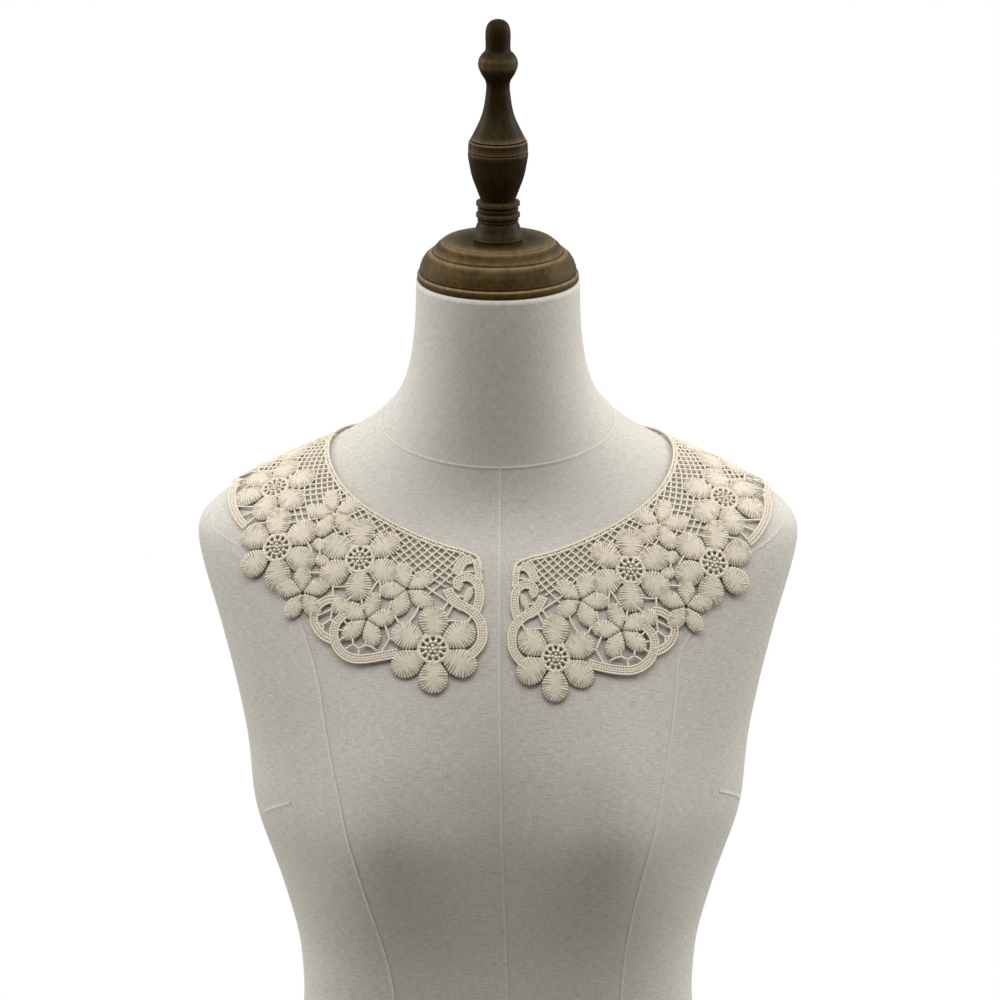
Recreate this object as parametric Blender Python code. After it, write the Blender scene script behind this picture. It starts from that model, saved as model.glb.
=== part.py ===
"""Lace collar of flowers, net and corded scallops, worn on a cloth-covered bust form.

The form stands upright on its flat hip. The front faces -Y and +X is the wearer's left.
"""
import math

import bmesh
import bpy
import numpy as np
from mathutils.geometry import delaunay_2d_cdt

MM = 0.001

# Bust form: one row for each ring, all in metres but the tilt and the squareness.
# height, centre_y, tilt_deg, half_width, front, back, squareness
SECTIONS = (
    (0.000, 0.010, 0.0, 0.1630, 0.1000, 0.1040, 2.30),
    (0.030, 0.010, 0.0, 0.1670, 0.1040, 0.1100, 2.30),
    (0.070, 0.009, 0.0, 0.1670, 0.1050, 0.1120, 2.30),
    (0.120, 0.006, 0.0, 0.1545, 0.1000, 0.1000, 2.30),
    (0.170, 0.003, 0.0, 0.1355, 0.0910, 0.0820, 2.25),
    (0.215, 0.000, 0.0, 0.1255, 0.0840, 0.0730, 2.20),
    (0.258, 0.000, 0.0, 0.1285, 0.0880, 0.0770, 2.20),
    (0.300, 0.002, 0.0, 0.1410, 0.0980, 0.0850, 2.20),
    (0.345, 0.004, 0.0, 0.1580, 0.1060, 0.0940, 2.20),
    (0.390, 0.006, 0.0, 0.1615, 0.1060, 0.0980, 2.20),
    (0.430, 0.008, 2.0, 0.1700, 0.1010, 0.0990, 2.20),
    (0.470, 0.010, 5.0, 0.1805, 0.0910, 0.0960, 2.15),
    (0.500, 0.012, 8.0, 0.1900, 0.0810, 0.0900, 2.10),
    (0.520, 0.014, 11.0, 0.1945, 0.0750, 0.0840, 2.05),
    (0.533, 0.015, 14.0, 0.1965, 0.0700, 0.0790, 2.00),
    (0.543, 0.016, 17.0, 0.1845, 0.0670, 0.0750, 2.00),
    (0.553, 0.016, 20.0, 0.1560, 0.0640, 0.0720, 2.00),
    (0.563, 0.016, 23.0, 0.1245, 0.0620, 0.0690, 2.00),
    (0.574, 0.015, 26.0, 0.0960, 0.0600, 0.0650, 2.00),
    (0.588, 0.013, 27.0, 0.0780, 0.0580, 0.0610, 2.00),
    (0.604, 0.010, 25.0, 0.0645, 0.0560, 0.0580, 2.00),
    (0.624, 0.005, 20.0, 0.0570, 0.0540, 0.0550, 2.00),
    (0.648, -0.001, 15.0, 0.0533, 0.0525, 0.0530, 2.00),
    (0.668, -0.006, 12.0, 0.0520, 0.0520, 0.0520, 2.00),
    (0.6845, -0.009, 10.5, 0.0520, 0.0520, 0.0520, 2.00),
)
SMOOTHING_PASSES = 30
# Moves everything back or forward so that the origin is under the middle of the whole object.
STAND_SHIFT = -0.002814
TABLE_STEP = 0.0005

# Bust mounds: distance from the middle, height, how far forward, and their spread.
BUST = {"side": 0.080, "height": 0.342, "forward": 0.024, "wide": 0.056, "up": 0.075, "down": 0.062}

# Neckline of the collar: ring height as a cosine series of the angle from the front.
NECKLINE = (0.5543, -0.0092, -0.0146, -0.0023, 0.0013, 0.0007)

# Lace, in millimetres.
WALL = 1.3
CLEARANCE = 0.65
SHOULDER_LIFT = 0.5
SHOULDER_AT = 180.0
EDGE_LIFT = 1.1
PETAL_CROWN = 1.2
TAPE_WIDTH = 5.4
NET_DEPTH = 25.0
HOLE_PITCH = 10.6
BAR_WIDTH = 1.7
SMALLEST_GAP_AREA = 13.0
SEAM_GAP = 0.3
HANG_ALONG = 3.0
HANG_DOWN = 2.2

# Flowers on the flat pattern, millimetres from the middle of the front neckline.
# across, up, petals, turn_deg, petal_reach, petal_length, petal_width
BIG = (17.7, 9.8, 9.0)
SMALL = (10.6, 7.8, 6.7)
FLOWERS = (
    (38.2, -63.3, 6, 90.0) + BIG,
    (85.3, -3.5, 6, 91.0) + BIG,
    (138.9, 7.1, 6, 89.0) + BIG,
    (146.5, 55.0, 6, 42.0) + BIG,
    (152.0, 108.0, 6, 60.0) + BIG,
    (140.0, 160.5, 6, 90.0) + BIG,
    (107.5, 202.0, 6, 76.0) + BIG,
    (80.0, -43.5, 5, 34.0) + SMALL,
    (54.0, -25.0, 5, 1.0) + SMALL,
    (103.4, 29.5, 5, 8.0) + SMALL,
    (121.8, -23.5, 5, 20.0) + SMALL,
)

# Outer edge of the flat pattern: where each scallop starts and how far it swells out.
# across, up, swell, has_tape
EDGE = (
    (10.6, 0.6, 1.2, True),
    (9.4, -36.5, 4.4, True),
    (19.5, -70.0, 0.0, False),
    (58.0, -68.5, 10.5, True),
    (105.5, -50.0, 9.0, True),
    (108.5, -24.0, 0.0, False),
    (128.0, -2.0, 0.0, False),
    (150.0, 12.0, 0.0, False),
    (161.0, 24.0, 5.0, True),
    (176.0, 66.0, 6.5, True),
    (175.5, 112.0, 6.5, True),
    (160.0, 157.0, 6.5, True),
    (134.0, 197.0, 6.0, True),
    (108.0, 229.0, 3.0, True),
)
BACK_DEPTH = 62.0

# Corded scrolls inside the edge, each a smooth line through its points.
SCROLLS = (
    ((14.5, -37.0), (14.2, -24.0), (18.5, -16.5), (26.0, -15.5), (30.0, -21.0)),
    ((36.0, -19.0), (31.5, -28.0), (23.0, -34.0), (15.0, -40.0)),
    ((107.5, -23.5), (101.0, -25.5), (96.0, -31.0), (98.5, -37.5)),
)

# Turned wood, in millimetres: radius and height of each ring above its own foot.
NECK_CAP_RINGS = (
    (50.6, 0.0), (51.3, 1.0), (51.3, 4.2), (50.1, 5.3), (49.5, 8.6), (48.1, 12.4), (46.0, 15.6),
    (42.9, 18.0), (41.9, 19.0), (38.7, 22.6), (35.4, 25.4), (34.4, 25.9),
)
FINIAL_RINGS = (
    (14.9, 0.0), (15.7, 1.2), (15.5, 3.8), (13.5, 9.4), (12.5, 11.4), (13.7, 14.2), (13.7, 16.4),
    (11.8, 19.4), (13.7, 22.2), (13.5, 24.0), (11.0, 25.9), (13.5, 32.5), (16.7, 41.7),
    (18.9, 53.7), (18.8, 58.9), (17.4, 64.2), (14.8, 69.5), (10.1, 80.3), (7.9, 91.9),
    (7.6, 100.6), (10.7, 106.5), (12.2, 113.3), (10.9, 116.8), (7.9, 121.0), (7.6, 131.6),
    (6.4, 136.9), (3.4, 140.0),
)
WOOD_SIDES = 36
FINIAL_SIDES = 20
FORM_SIDES = 52
FORM_RINGS = (
    0.000, 0.032, 0.066, 0.102, 0.140, 0.178, 0.215, 0.250, 0.282, 0.312, 0.338, 0.364, 0.394,
    0.432, 0.468, 0.494, 0.512, 0.524, 0.533, 0.541, 0.548, 0.555, 0.562, 0.570, 0.580, 0.593,
    0.610, 0.634, 0.660, 0.6845,
)

CLOTH = (0.62, 0.59, 0.52, 1.0)
LACE = (0.74, 0.68, 0.56, 1.0)
WOOD = (0.075, 0.048, 0.024, 1.0)


def smooth_sections():
    """The ring table at even small steps, smoothed so that no ring shows as a crease."""
    rows = np.array(SECTIONS)
    heights = np.arange(rows[0, 0], rows[-1, 0] + TABLE_STEP / 2, TABLE_STEP)
    columns = []
    for k in range(1, rows.shape[1]):
        fine = np.interp(heights, rows[:, 0], rows[:, k])
        for _ in range(SMOOTHING_PASSES):
            padded = np.concatenate([2 * fine[0] - fine[6:0:-1], fine, 2 * fine[-1] - fine[-2:-8:-1]])
            fine = np.convolve(padded, np.ones(13) / 13, mode="valid")
        columns.append(fine)
    return heights, columns


HEIGHTS, COLUMNS = smooth_sections()


def form_point(turn, height):
    """Point of the form at a ring angle (0 at +X, -90 degrees in front) and ring height."""
    turn, height = np.broadcast_arrays(np.asarray(turn, float), np.asarray(height, float))
    centre, tilt, wide, front, back, square = (np.interp(height, HEIGHTS, c) for c in COLUMNS)
    cos, sin = np.cos(turn), np.sin(turn)
    deep = np.where(sin < 0, front, back)
    reach = (np.abs(cos / wide) ** square + np.abs(sin / deep) ** square) ** (-1 / square)
    x, y = reach * cos, reach * sin
    rise = height - BUST["height"]
    spread = np.where(rise > 0, BUST["up"], BUST["down"])
    mound = np.exp(-((np.abs(x) - BUST["side"]) / BUST["wide"]) ** 2 - (rise / spread) ** 2)
    facing = np.maximum(-sin, 0)
    y = y - BUST["forward"] * mound * facing * facing * (3 - 2 * facing)
    lean = np.radians(tilt)
    return np.stack([x, centre + STAND_SHIFT + y * np.cos(lean), height + y * np.sin(lean)], -1)


def form_slopes(turn, height):
    """How the surface point moves with the ring angle and with the ring height."""
    a, h = 0.004, 0.001
    by_turn = (form_point(turn + a, height) - form_point(turn - a, height)) / (2 * a)
    by_height = (form_point(turn, height + h) - form_point(turn, height - h)) / (2 * h)
    return by_turn, by_height


def unit(v):
    return v / np.linalg.norm(v, axis=-1, keepdims=True)


def neckline_height(angle):
    return sum(c * np.cos(k * angle) for k, c in enumerate(NECKLINE))


def surface_step(turn, height, heading, length):
    """Moves along the surface by one straight step of the given length."""
    by_turn, by_height = form_slopes(turn, height)
    move = heading * length
    aa = (by_turn * by_turn).sum(-1)
    ab = (by_turn * by_height).sum(-1)
    bb = (by_height * by_height).sum(-1)
    am = (by_turn * move).sum(-1)
    bm = (by_height * move).sum(-1)
    det = aa * bb - ab * ab
    return (bb * am - ab * bm) / det, (aa * bm - ab * am) / det


class Ground:
    """The band of the form that one half of the collar lies on, laid out flat."""

    def __init__(self, step=3.0, depth=108.0, before=24.0, beyond=12.0):
        angle = np.radians(np.linspace(-20, 200, 4401))
        points = form_point(angle - math.pi / 2, neckline_height(angle))
        run = np.concatenate([[0], np.cumsum(np.linalg.norm(np.diff(points, axis=0), axis=1))]) / MM
        run -= np.interp(0, angle, run)
        self.half = float(np.interp(math.pi, angle, run))
        count = int((self.half + beyond + before) / step)
        self.along = -before + step * np.arange(count + 1)
        at = np.interp(self.along, run, angle)
        turn, height = at - math.pi / 2, neckline_height(at)
        by_turn, by_height = form_slopes(turn, height)
        normal = unit(np.cross(by_turn, by_height))
        start = form_point(turn, height)
        tangent = unit(np.gradient(start, axis=0))
        heading = np.cross(tangent, normal)
        bend = -(np.gradient(tangent, self.along, axis=0) * heading).sum(1)
        bend = np.convolve(np.pad(bend, 3, mode="edge"), np.ones(7) / 7, mode="valid")
        self.out = step * np.arange(int(depth / step) + 1)
        points, normals = [start], [normal]
        parts = 3
        for _ in range(len(self.out) - 1):
            for _ in range(parts):
                a, b = surface_step(turn, height, heading, step * MM / parts)
                by_turn, by_height = form_slopes(turn + a / 2, height + b / 2)
                across = unit(np.cross(by_turn, by_height))
                heading = unit(heading - (heading * across).sum(-1, keepdims=True) * across)
                a, b = surface_step(turn + a / 2, height + b / 2, heading, step * MM / parts)
                turn, height = turn + a, height + b
                across = unit(np.cross(*form_slopes(turn, height)))
                heading = unit(heading - (heading * across).sum(-1, keepdims=True) * across)
            points.append(form_point(turn, height))
            normals.append(across)
        self.points, self.normals = np.array(points), np.array(normals)
        fine = np.linspace(self.along[0], self.along[-1], 1600)
        bend = np.interp(fine, self.along, bend)
        gap = fine[1] - fine[0]
        angle = np.cumsum(bend) * gap
        angle -= np.interp(0, fine, angle)
        across, up = np.cumsum(np.cos(angle)) * gap, np.cumsum(np.sin(angle)) * gap
        across -= np.interp(0, fine, across)
        up -= np.interp(0, fine, up)
        self.fine, self.bend, self.angle, self.line = fine, bend, angle, np.stack([across, up], 1)

    def flat(self, along, out):
        """Flat pattern point at a distance along the neckline and out from it."""
        angle = np.interp(along, self.fine, self.angle)
        x = np.interp(along, self.fine, self.line[:, 0]) + out * np.sin(angle)
        y = np.interp(along, self.fine, self.line[:, 1]) - out * np.cos(angle)
        return np.stack([x, y], -1)

    def unflat(self, flat):
        """Distance along the neckline and out from it of flat pattern points."""
        flat = np.atleast_2d(np.asarray(flat, float))
        near = np.argmin(((flat[:, None] - self.line[None]) ** 2).sum(-1), axis=1)
        away = flat - self.line[near]
        angle = self.angle[near]
        ahead = away[:, 0] * np.cos(angle) + away[:, 1] * np.sin(angle)
        out = away[:, 0] * np.sin(angle) - away[:, 1] * np.cos(angle)
        return self.fine[near] + ahead / (1 + self.bend[near] * np.maximum(out, 0)), out

    def lay(self, flat, side, offset):
        """Places flat pattern points on the form, offset millimetres above its cloth."""
        along, out = self.unflat(flat)
        fade = np.clip((250 - along) / 90, 0, 1)
        fade = fade * fade * (3 - 2 * fade)
        along = along - side * HANG_ALONG * fade * np.clip(along / 40, 0, 1)
        out = out + side * HANG_DOWN * fade
        i = np.clip((along - self.along[0]) / (self.along[1] - self.along[0]), 0, len(self.along) - 1.001)
        j = np.clip(out / (self.out[1] - self.out[0]), -0.9, len(self.out) - 1.001)
        i0, j0 = np.floor(i).astype(int), np.maximum(np.floor(j).astype(int), 0)
        fi, fj = (i - i0)[:, None], (j - j0)[:, None]
        placed = []
        for grid in (self.points, self.normals):
            low = grid[j0, i0] * (1 - fi) + grid[j0, i0 + 1] * fi
            high = grid[j0 + 1, i0] * (1 - fi) + grid[j0 + 1, i0 + 1] * fi
            placed.append(low * (1 - fj) + high * fj)
        spot = placed[0] + unit(placed[1]) * np.asarray(offset, float)[:, None] * MM
        spot[:, 0] *= side
        return spot

    def lift(self, flat):
        """Height of the lace's underside above the form: its free edge stands off a little."""
        along, out = self.unflat(flat)
        free = np.clip((out - 42) / 38, 0, 1)
        wave = 0.62 + 0.38 * np.sin(along / 7.5 + 0.6)
        ridge = SHOULDER_LIFT * np.exp(-((along - SHOULDER_AT) / 38) ** 2)
        return CLEARANCE + ridge + EDGE_LIFT * free * free * (3 - 2 * free) * wave


def arc(start, end, swell, spacing=8.0):
    """Points from start to end, swelling to the right of the way by a sine arch."""
    start, end = np.array(start, float), np.array(end, float)
    way = end - start
    length = np.linalg.norm(way)
    right = np.array([way[1], -way[0]]) / length
    count = max(1, int(round((length + 1.6 * abs(swell)) / spacing)))
    share = np.linspace(0, 1, count + 1)
    arch = np.sin(np.pi * share) ** 0.75
    return start + share[:, None] * way + (arch * swell)[:, None] * right


def spline(points, spacing=5.5):
    """Smooth line through the points."""
    p = np.array(points, float)
    p = np.concatenate([[2 * p[0] - p[1]], p, [2 * p[-1] - p[-2]]])
    line = []
    for k in range(1, len(p) - 2):
        count = max(2, int(round(np.linalg.norm(p[k + 1] - p[k]) / spacing)))
        for t in np.arange(count) / count:
            line.append(0.5 * (2 * p[k] + (p[k + 1] - p[k - 1]) * t
                               + (2 * p[k - 1] - 5 * p[k] + 4 * p[k + 1] - p[k + 2]) * t * t
                               + (3 * p[k] - p[k - 1] - 3 * p[k + 1] + p[k + 2]) * t ** 3))
    line.append(p[-2])
    return np.array(line)


def strip(line, width):
    """Outer and inner side of a band of even width along a line."""
    way = np.gradient(line, axis=0)
    way /= np.linalg.norm(way, axis=1, keepdims=True)
    side = np.stack([way[:, 1], -way[:, 0]], 1) * width / 2
    return line + side, line - side


def petal_reach(angle, reach, length, width):
    """How far a petal reaches along a ray at this angle from its own axis."""
    c, s = np.cos(angle), np.sin(angle)
    a = (c / length) ** 2 + (s / width) ** 2
    b = -2 * reach * c / length ** 2
    k = (reach / length) ** 2 - 1
    return (-b + np.sqrt(np.maximum(b * b - 4 * a * k, 0))) / (2 * a)


def flower_crown(flat, row):
    """Height of one flower's petals above the lace at flat pattern points."""
    x, y, petals, turn, reach, length, width = row
    away = flat - np.array([x, y])
    angle = np.arctan2(away[:, 1], away[:, 0]) - math.radians(turn)
    part = 2 * math.pi / petals
    angle = angle - part * np.round(angle / part)
    far = np.hypot(away[:, 0], away[:, 1])
    p, q = far * np.cos(angle) - reach, far * np.sin(angle)
    return np.sqrt(np.maximum(0, 1 - (p / length) ** 2 - (q / width) ** 2))


def crown(flat):
    return PETAL_CROWN * np.max([flower_crown(flat, row) for row in FLOWERS], axis=0)


class Pattern:
    """Collects the outlines of the flat pattern and cuts them into triangles."""

    def __init__(self):
        self.points, self.edges, self.faces, self.kinds = [], [], [], []

    def outline(self, points, kind):
        points = np.asarray(points)
        twice = points[:, 0] * np.roll(points[:, 1], -1) - points[:, 1] * np.roll(points[:, 0], -1)
        if twice.sum() < 0:
            points = points[::-1]
        first = len(self.points)
        self.points += [tuple(p) for p in points]
        self.faces.append(list(range(first, first + len(points))))
        self.kinds.append(kind)
        return first

    def spot(self, point):
        self.points.append(tuple(point))
        return len(self.points) - 1

    def flower(self, row):
        x, y, petals, turn, reach, length, width = row
        part = 2 * math.pi / petals
        shares = (-1.0, -0.68, -0.34, 0.0, 0.34, 0.68) if petals > 5 else (-1.0, -0.6, -0.2, 0.2, 0.6)
        outline, notches = [], []
        for k in range(petals):
            for share in shares:
                far = float(petal_reach(share * part / 2, reach, length, width))
                angle = math.radians(turn) + k * part + share * part / 2
                outline.append((x + far * math.cos(angle), y + far * math.sin(angle)))
        first = len(self.points)
        self.points += outline
        self.faces.append(list(range(first, first + len(outline))))
        self.kinds.append("solid")
        inner = 9.4 if petals > 5 else 2.6
        ring = []
        for k in range(petals):
            angle = math.radians(turn) + (k - 0.5) * part
            ring.append(self.spot((x + inner * math.cos(angle), y + inner * math.sin(angle))))
            self.edges.append((first + k * len(shares), ring[-1]))
            notches.append(angle)
        for k in range(petals):
            angle = math.radians(turn) + k * part
            heights = (reach - 3.6, reach + 4.2) if petals > 5 else (reach,)
            for far in heights:
                self.spot((x + far * math.cos(angle), y + far * math.sin(angle)))
        if petals > 5:
            self.spot((x, y))

    def triangles(self):
        points, _, faces, _, _, origin = delaunay_2d_cdt(
            [tuple(map(float, p)) for p in self.points], self.edges, self.faces, 1, 0.22, True)
        flat = np.array([tuple(p) for p in points])
        keep, open_ = [], []
        for face, sources in zip(faces, origin):
            kinds = {self.kinds[i] for i in sources}
            if "outside" in kinds:
                continue
            if "solid" in kinds or ("base" in kinds and "hole" not in kinds):
                keep.append(tuple(face))
            elif "base" in kinds:
                open_.append(tuple(face))
        return flat, keep, open_


def edge_lines(ground):
    """The scallops of the outer edge, from the front corner to the middle of the back."""
    last = tuple(ground.flat(ground.half - SEAM_GAP / 2, BACK_DEPTH))
    rows = list(EDGE) + [last + (0.0, False)]
    return [(arc(a[:2], b[:2], a[2]), a[3]) for a, b in zip(rows, rows[1:])]


def inside(points, outline):
    """Which points lie inside a closed outline."""
    x, y = points[:, 0], points[:, 1]
    hit = np.zeros(len(points), bool)
    for (ax, ay), (bx, by) in zip(outline, np.roll(outline, -1, axis=0)):
        if ay == by:
            continue
        cross = (ay > y) != (by > y)
        hit ^= cross & (x < (bx - ax) * (y - ay) / (by - ay) + ax)
    return hit


def areas(flat, faces):
    a, b, c = (flat[[f[k] for f in faces]] for k in range(3))
    return 0.5 * np.abs((b - a)[:, 0] * (c - a)[:, 1] - (b - a)[:, 1] * (c - a)[:, 0])


def fill_small_gaps(flat, keep, open_):
    """Gaps too small to cut are left as solid lace."""
    if not open_:
        return keep
    owner = list(range(len(open_)))

    def root(i):
        while owner[i] != i:
            owner[i] = owner[owner[i]]
            i = owner[i]
        return i

    seen = {}
    for i, face in enumerate(open_):
        for a, b in zip(face, face[1:] + face[:1]):
            key = (min(a, b), max(a, b))
            if key in seen:
                owner[root(i)] = root(seen[key])
            seen[key] = i
    size = areas(flat, open_)
    total = {}
    for i in range(len(open_)):
        total[root(i)] = total.get(root(i), 0) + size[i]
    filled = [f for i, f in enumerate(open_) if total[root(i)] < SMALLEST_GAP_AREA]
    return keep + filled


def largest_piece(keep):
    """Only the one connected piece of lace, without loose crumbs."""
    owner = list(range(len(keep)))

    def root(i):
        while owner[i] != i:
            owner[i] = owner[owner[i]]
            i = owner[i]
        return i

    seen = {}
    for i, face in enumerate(keep):
        for a, b in zip(face, face[1:] + face[:1]):
            key = (min(a, b), max(a, b))
            if key in seen:
                owner[root(i)] = root(seen[key])
            seen[key] = i
    groups = {}
    for i in range(len(keep)):
        groups.setdefault(root(i), []).append(i)
    best = max(groups.values(), key=len)
    return [keep[i] for i in best]


def part_corners(flat, keep):
    """Gives each fan of triangles that only shares one corner a corner of its own."""
    around = {}
    for i, face in enumerate(keep):
        for v in face:
            around.setdefault(v, []).append(i)
    faces = [list(f) for f in keep]
    points = [tuple(p) for p in flat]
    for v, fans in around.items():
        left = set(fans)
        groups = []
        while left:
            group, queue = set(), [left.pop()]
            while queue:
                i = queue.pop()
                group.add(i)
                others = set(keep[i]) - {v}
                for j in list(left):
                    if others & (set(keep[j]) - {v}):
                        left.discard(j)
                        queue.append(j)
            groups.append(group)
        if len(groups) < 2:
            continue
        for group in groups:
            middle = np.mean([np.mean([flat[w] for w in keep[i]], axis=0) for i in group], axis=0)
            way = middle - flat[v]
            spot = flat[v] + way / np.linalg.norm(way) * 0.18
            points.append(tuple(spot))
            for i in group:
                faces[i][faces[i].index(v)] = len(points) - 1
    used = sorted({v for f in faces for v in f})
    index = {v: k for k, v in enumerate(used)}
    return np.array([points[v] for v in used]), [tuple(index[v] for v in f) for f in faces]


def lace_pattern(ground):
    """Triangles of one flat half of the collar."""
    pattern = Pattern()
    edge = edge_lines(ground)
    bands = [strip(line, TAPE_WIDTH) if taped else (line, line) for line, taped in edge]
    rim = np.concatenate([inner for _, inner in bands])
    back = ground.flat(ground.half - SEAM_GAP / 2, np.linspace(BACK_DEPTH, 0, 9))[1:-1]
    neck_at = np.linspace(ground.half - SEAM_GAP / 2, 12.0, 32)
    neck = ground.flat(neck_at, np.zeros(len(neck_at)))
    base = np.concatenate([rim, back, neck])
    pattern.outline(base, "base")
    scrolls = [strip(spline(points), TAPE_WIDTH * 0.85) for points in SCROLLS]
    taped = [band for band, (_, has_tape) in zip(bands, edge) if has_tape]
    for outer, inner in taped + scrolls:
        pattern.outline(np.concatenate([outer, inner[::-1]]), "solid")
    seam = ground.flat(ground.half - SEAM_GAP / 2, np.linspace(BACK_DEPTH, 0, 9))
    inner = ground.flat(ground.half - SEAM_GAP / 2 - 2.4, np.linspace(0, BACK_DEPTH, 9))
    pattern.outline(np.concatenate([seam, inner]), "solid")
    for row in FLOWERS:
        pattern.flower(row)
    beyond = ground.flat(ground.half - SEAM_GAP / 2, np.array([-6.0, 80.0]))
    past = ground.flat(ground.half + 8.0, np.array([80.0, -6.0]))
    pattern.outline(np.concatenate([beyond, past]), "outside")
    crowns = np.array([row[:2] for row in FLOWERS])
    reaches = np.array([row[4] + row[5] for row in FLOWERS])
    radius = (HOLE_PITCH - BAR_WIDTH) / math.sqrt(3)
    corners = np.radians(30 + 60 * np.arange(6))
    for j in range(-12, 38):
        for i in range(0, 20):
            centre = np.array([(i + 0.5 * (j % 2)) * HOLE_PITCH, j * HOLE_PITCH * math.sqrt(3) / 2])
            along, out = ground.unflat(centre)
            if out[0] < NET_DEPTH or along[0] > ground.half - 6 or not inside(centre[None], base)[0]:
                continue
            if np.any(np.hypot(*(crowns - centre).T) < reaches - 5.5):
                continue
            hexagon = centre + radius * np.stack([np.cos(corners), np.sin(corners)], 1)
            pattern.outline(hexagon, "hole")
    for depth in (9.0, 18.0):
        for at in np.arange(15, ground.half - 4, 11.0):
            pattern.spot(ground.flat(at, depth))
    flat, keep, open_ = pattern.triangles()
    keep = largest_piece(fill_small_gaps(flat, keep, open_))
    return part_corners(flat, keep)


def material(name, colour, roughness):
    made = bpy.data.materials.new(name)
    made.use_nodes = True
    shader = made.node_tree.nodes["Principled BSDF"]
    shader.inputs["Base Color"].default_value = colour
    shader.inputs["Roughness"].default_value = roughness
    return made


def add_object(name, points, faces, paint, smooth=True):
    mesh = bpy.data.meshes.new(name)
    mesh.from_pydata([tuple(map(float, p)) for p in points], [], [tuple(f) for f in faces])
    mesh.validate()
    made = bpy.data.objects.new(name, mesh)
    bpy.context.scene.collection.objects.link(made)
    body = bmesh.new()
    body.from_mesh(mesh)
    bmesh.ops.triangulate(body, faces=[f for f in body.faces if len(f.verts) > 4])
    bmesh.ops.recalc_face_normals(body, faces=body.faces)
    body.to_mesh(mesh)
    body.free()
    mesh.materials.append(paint)
    if smooth:
        mesh.shade_smooth()
        mesh.set_sharp_from_angle(angle=math.radians(38))
    return made


def make_lace(name, ground, side, paint):
    """One half of the collar: a raised outer face over a plain inside, with cut gaps."""
    flat, faces = lace_pattern(ground)
    low = ground.lift(flat)
    high = low + WALL + crown(flat)
    count = len(flat)
    points = np.concatenate([ground.lay(flat, side, high), ground.lay(flat, side, low)])
    made = [f for f in faces]
    made += [(a + count, c + count, b + count) for a, b, c in faces]
    once = {}
    for face in faces:
        for a, b in zip(face, face[1:] + face[:1]):
            if (b, a) in once:
                del once[(b, a)]
            else:
                once[(a, b)] = True
    made += [(a, a + count, b + count, b) for a, b in once]
    if side < 0:
        made = [f[::-1] for f in made]
    return add_object(name, points, made, paint)


def ring_turns(height):
    """Ring angles spaced evenly round the ring's own curve."""
    _, _, wide, front, back, square = (float(np.interp(height, HEIGHTS, c)) for c in COLUMNS)
    phase = 2 * math.pi * np.arange(FORM_SIDES) / FORM_SIDES - math.pi / 2
    c, s = np.cos(phase), np.sin(phase)
    x = wide * np.sign(c) * np.abs(c) ** (2 / square)
    y = np.where(s < 0, front, back) * np.sign(s) * np.abs(s) ** (2 / square)
    return np.arctan2(y, x)


def make_form(name, paint):
    points, faces = [], []
    for height in FORM_RINGS:
        points += list(form_point(ring_turns(height), height))
    n = FORM_SIDES
    for j in range(len(FORM_RINGS) - 1):
        for i in range(n):
            k = (i + 1) % n
            faces.append((j * n + i, j * n + k, (j + 1) * n + k, (j + 1) * n + i))
    top = len(FORM_RINGS) - 1
    faces.append(tuple(range(n))[::-1])
    faces.append(tuple(top * n + i for i in range(n)))
    return add_object(name, points, faces, paint)


def neck_axis():
    """Middle of the neck's flat top, its axis and the two directions across it."""
    row = SECTIONS[-1]
    lean = math.radians(row[2])
    middle = np.array([0.0, row[1] + STAND_SHIFT, row[0]])
    axis = np.array([0.0, -math.sin(lean), math.cos(lean)])
    return middle, axis, np.array([1.0, 0.0, 0.0]), np.array([0.0, math.cos(lean), math.sin(lean)])


def make_turned(name, rings, sides, foot, paint):
    """A solid turned round the neck's axis, its foot this far above the neck's top."""
    middle, axis, across, deep = neck_axis()
    points, faces = [], []
    for radius, height in rings:
        for i in range(sides):
            angle = 2 * math.pi * i / sides
            spoke = across * math.cos(angle) + deep * math.sin(angle)
            points.append(middle + axis * (foot + height) * MM + spoke * radius * MM)
    for j in range(len(rings) - 1):
        for i in range(sides):
            k = (i + 1) % sides
            faces.append((j * sides + i, j * sides + k, (j + 1) * sides + k, (j + 1) * sides + i))
    faces.append(tuple(range(sides))[::-1])
    faces.append(tuple((len(rings) - 1) * sides + i for i in range(sides)))
    return add_object(name, points, faces, paint)


def main():
    for old in list(bpy.data.objects):
        bpy.data.objects.remove(old, do_unlink=True)
    lace = material("lace_cotton", LACE, 0.9)
    cloth = material("form_cloth", CLOTH, 0.85)
    cap_wood = material("neck_cap_wood", WOOD, 0.45)
    finial_wood = material("finial_wood", WOOD, 0.45)
    lace_right = lace.copy()
    lace_right.name = "lace_cotton_right"
    ground = Ground()
    make_lace("collar_left", ground, 1.0, lace)
    make_lace("collar_right", ground, -1.0, lace_right)
    make_form("dress_form", cloth)
    make_turned("neck_cap", NECK_CAP_RINGS, WOOD_SIDES, SEAM_GAP, cap_wood)
    top = NECK_CAP_RINGS[-1][1] + 2 * SEAM_GAP
    make_turned("finial", FINIAL_RINGS, FINIAL_SIDES, top, finial_wood)


main()
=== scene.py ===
"""Looks of the lace collar on its bust form: satin-stitched flowers, net, corded edges, linen and turned wood.

The lace is drawn flat in millimetres, as it is embroidered, and then laid on the form.
"""

import math

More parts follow.
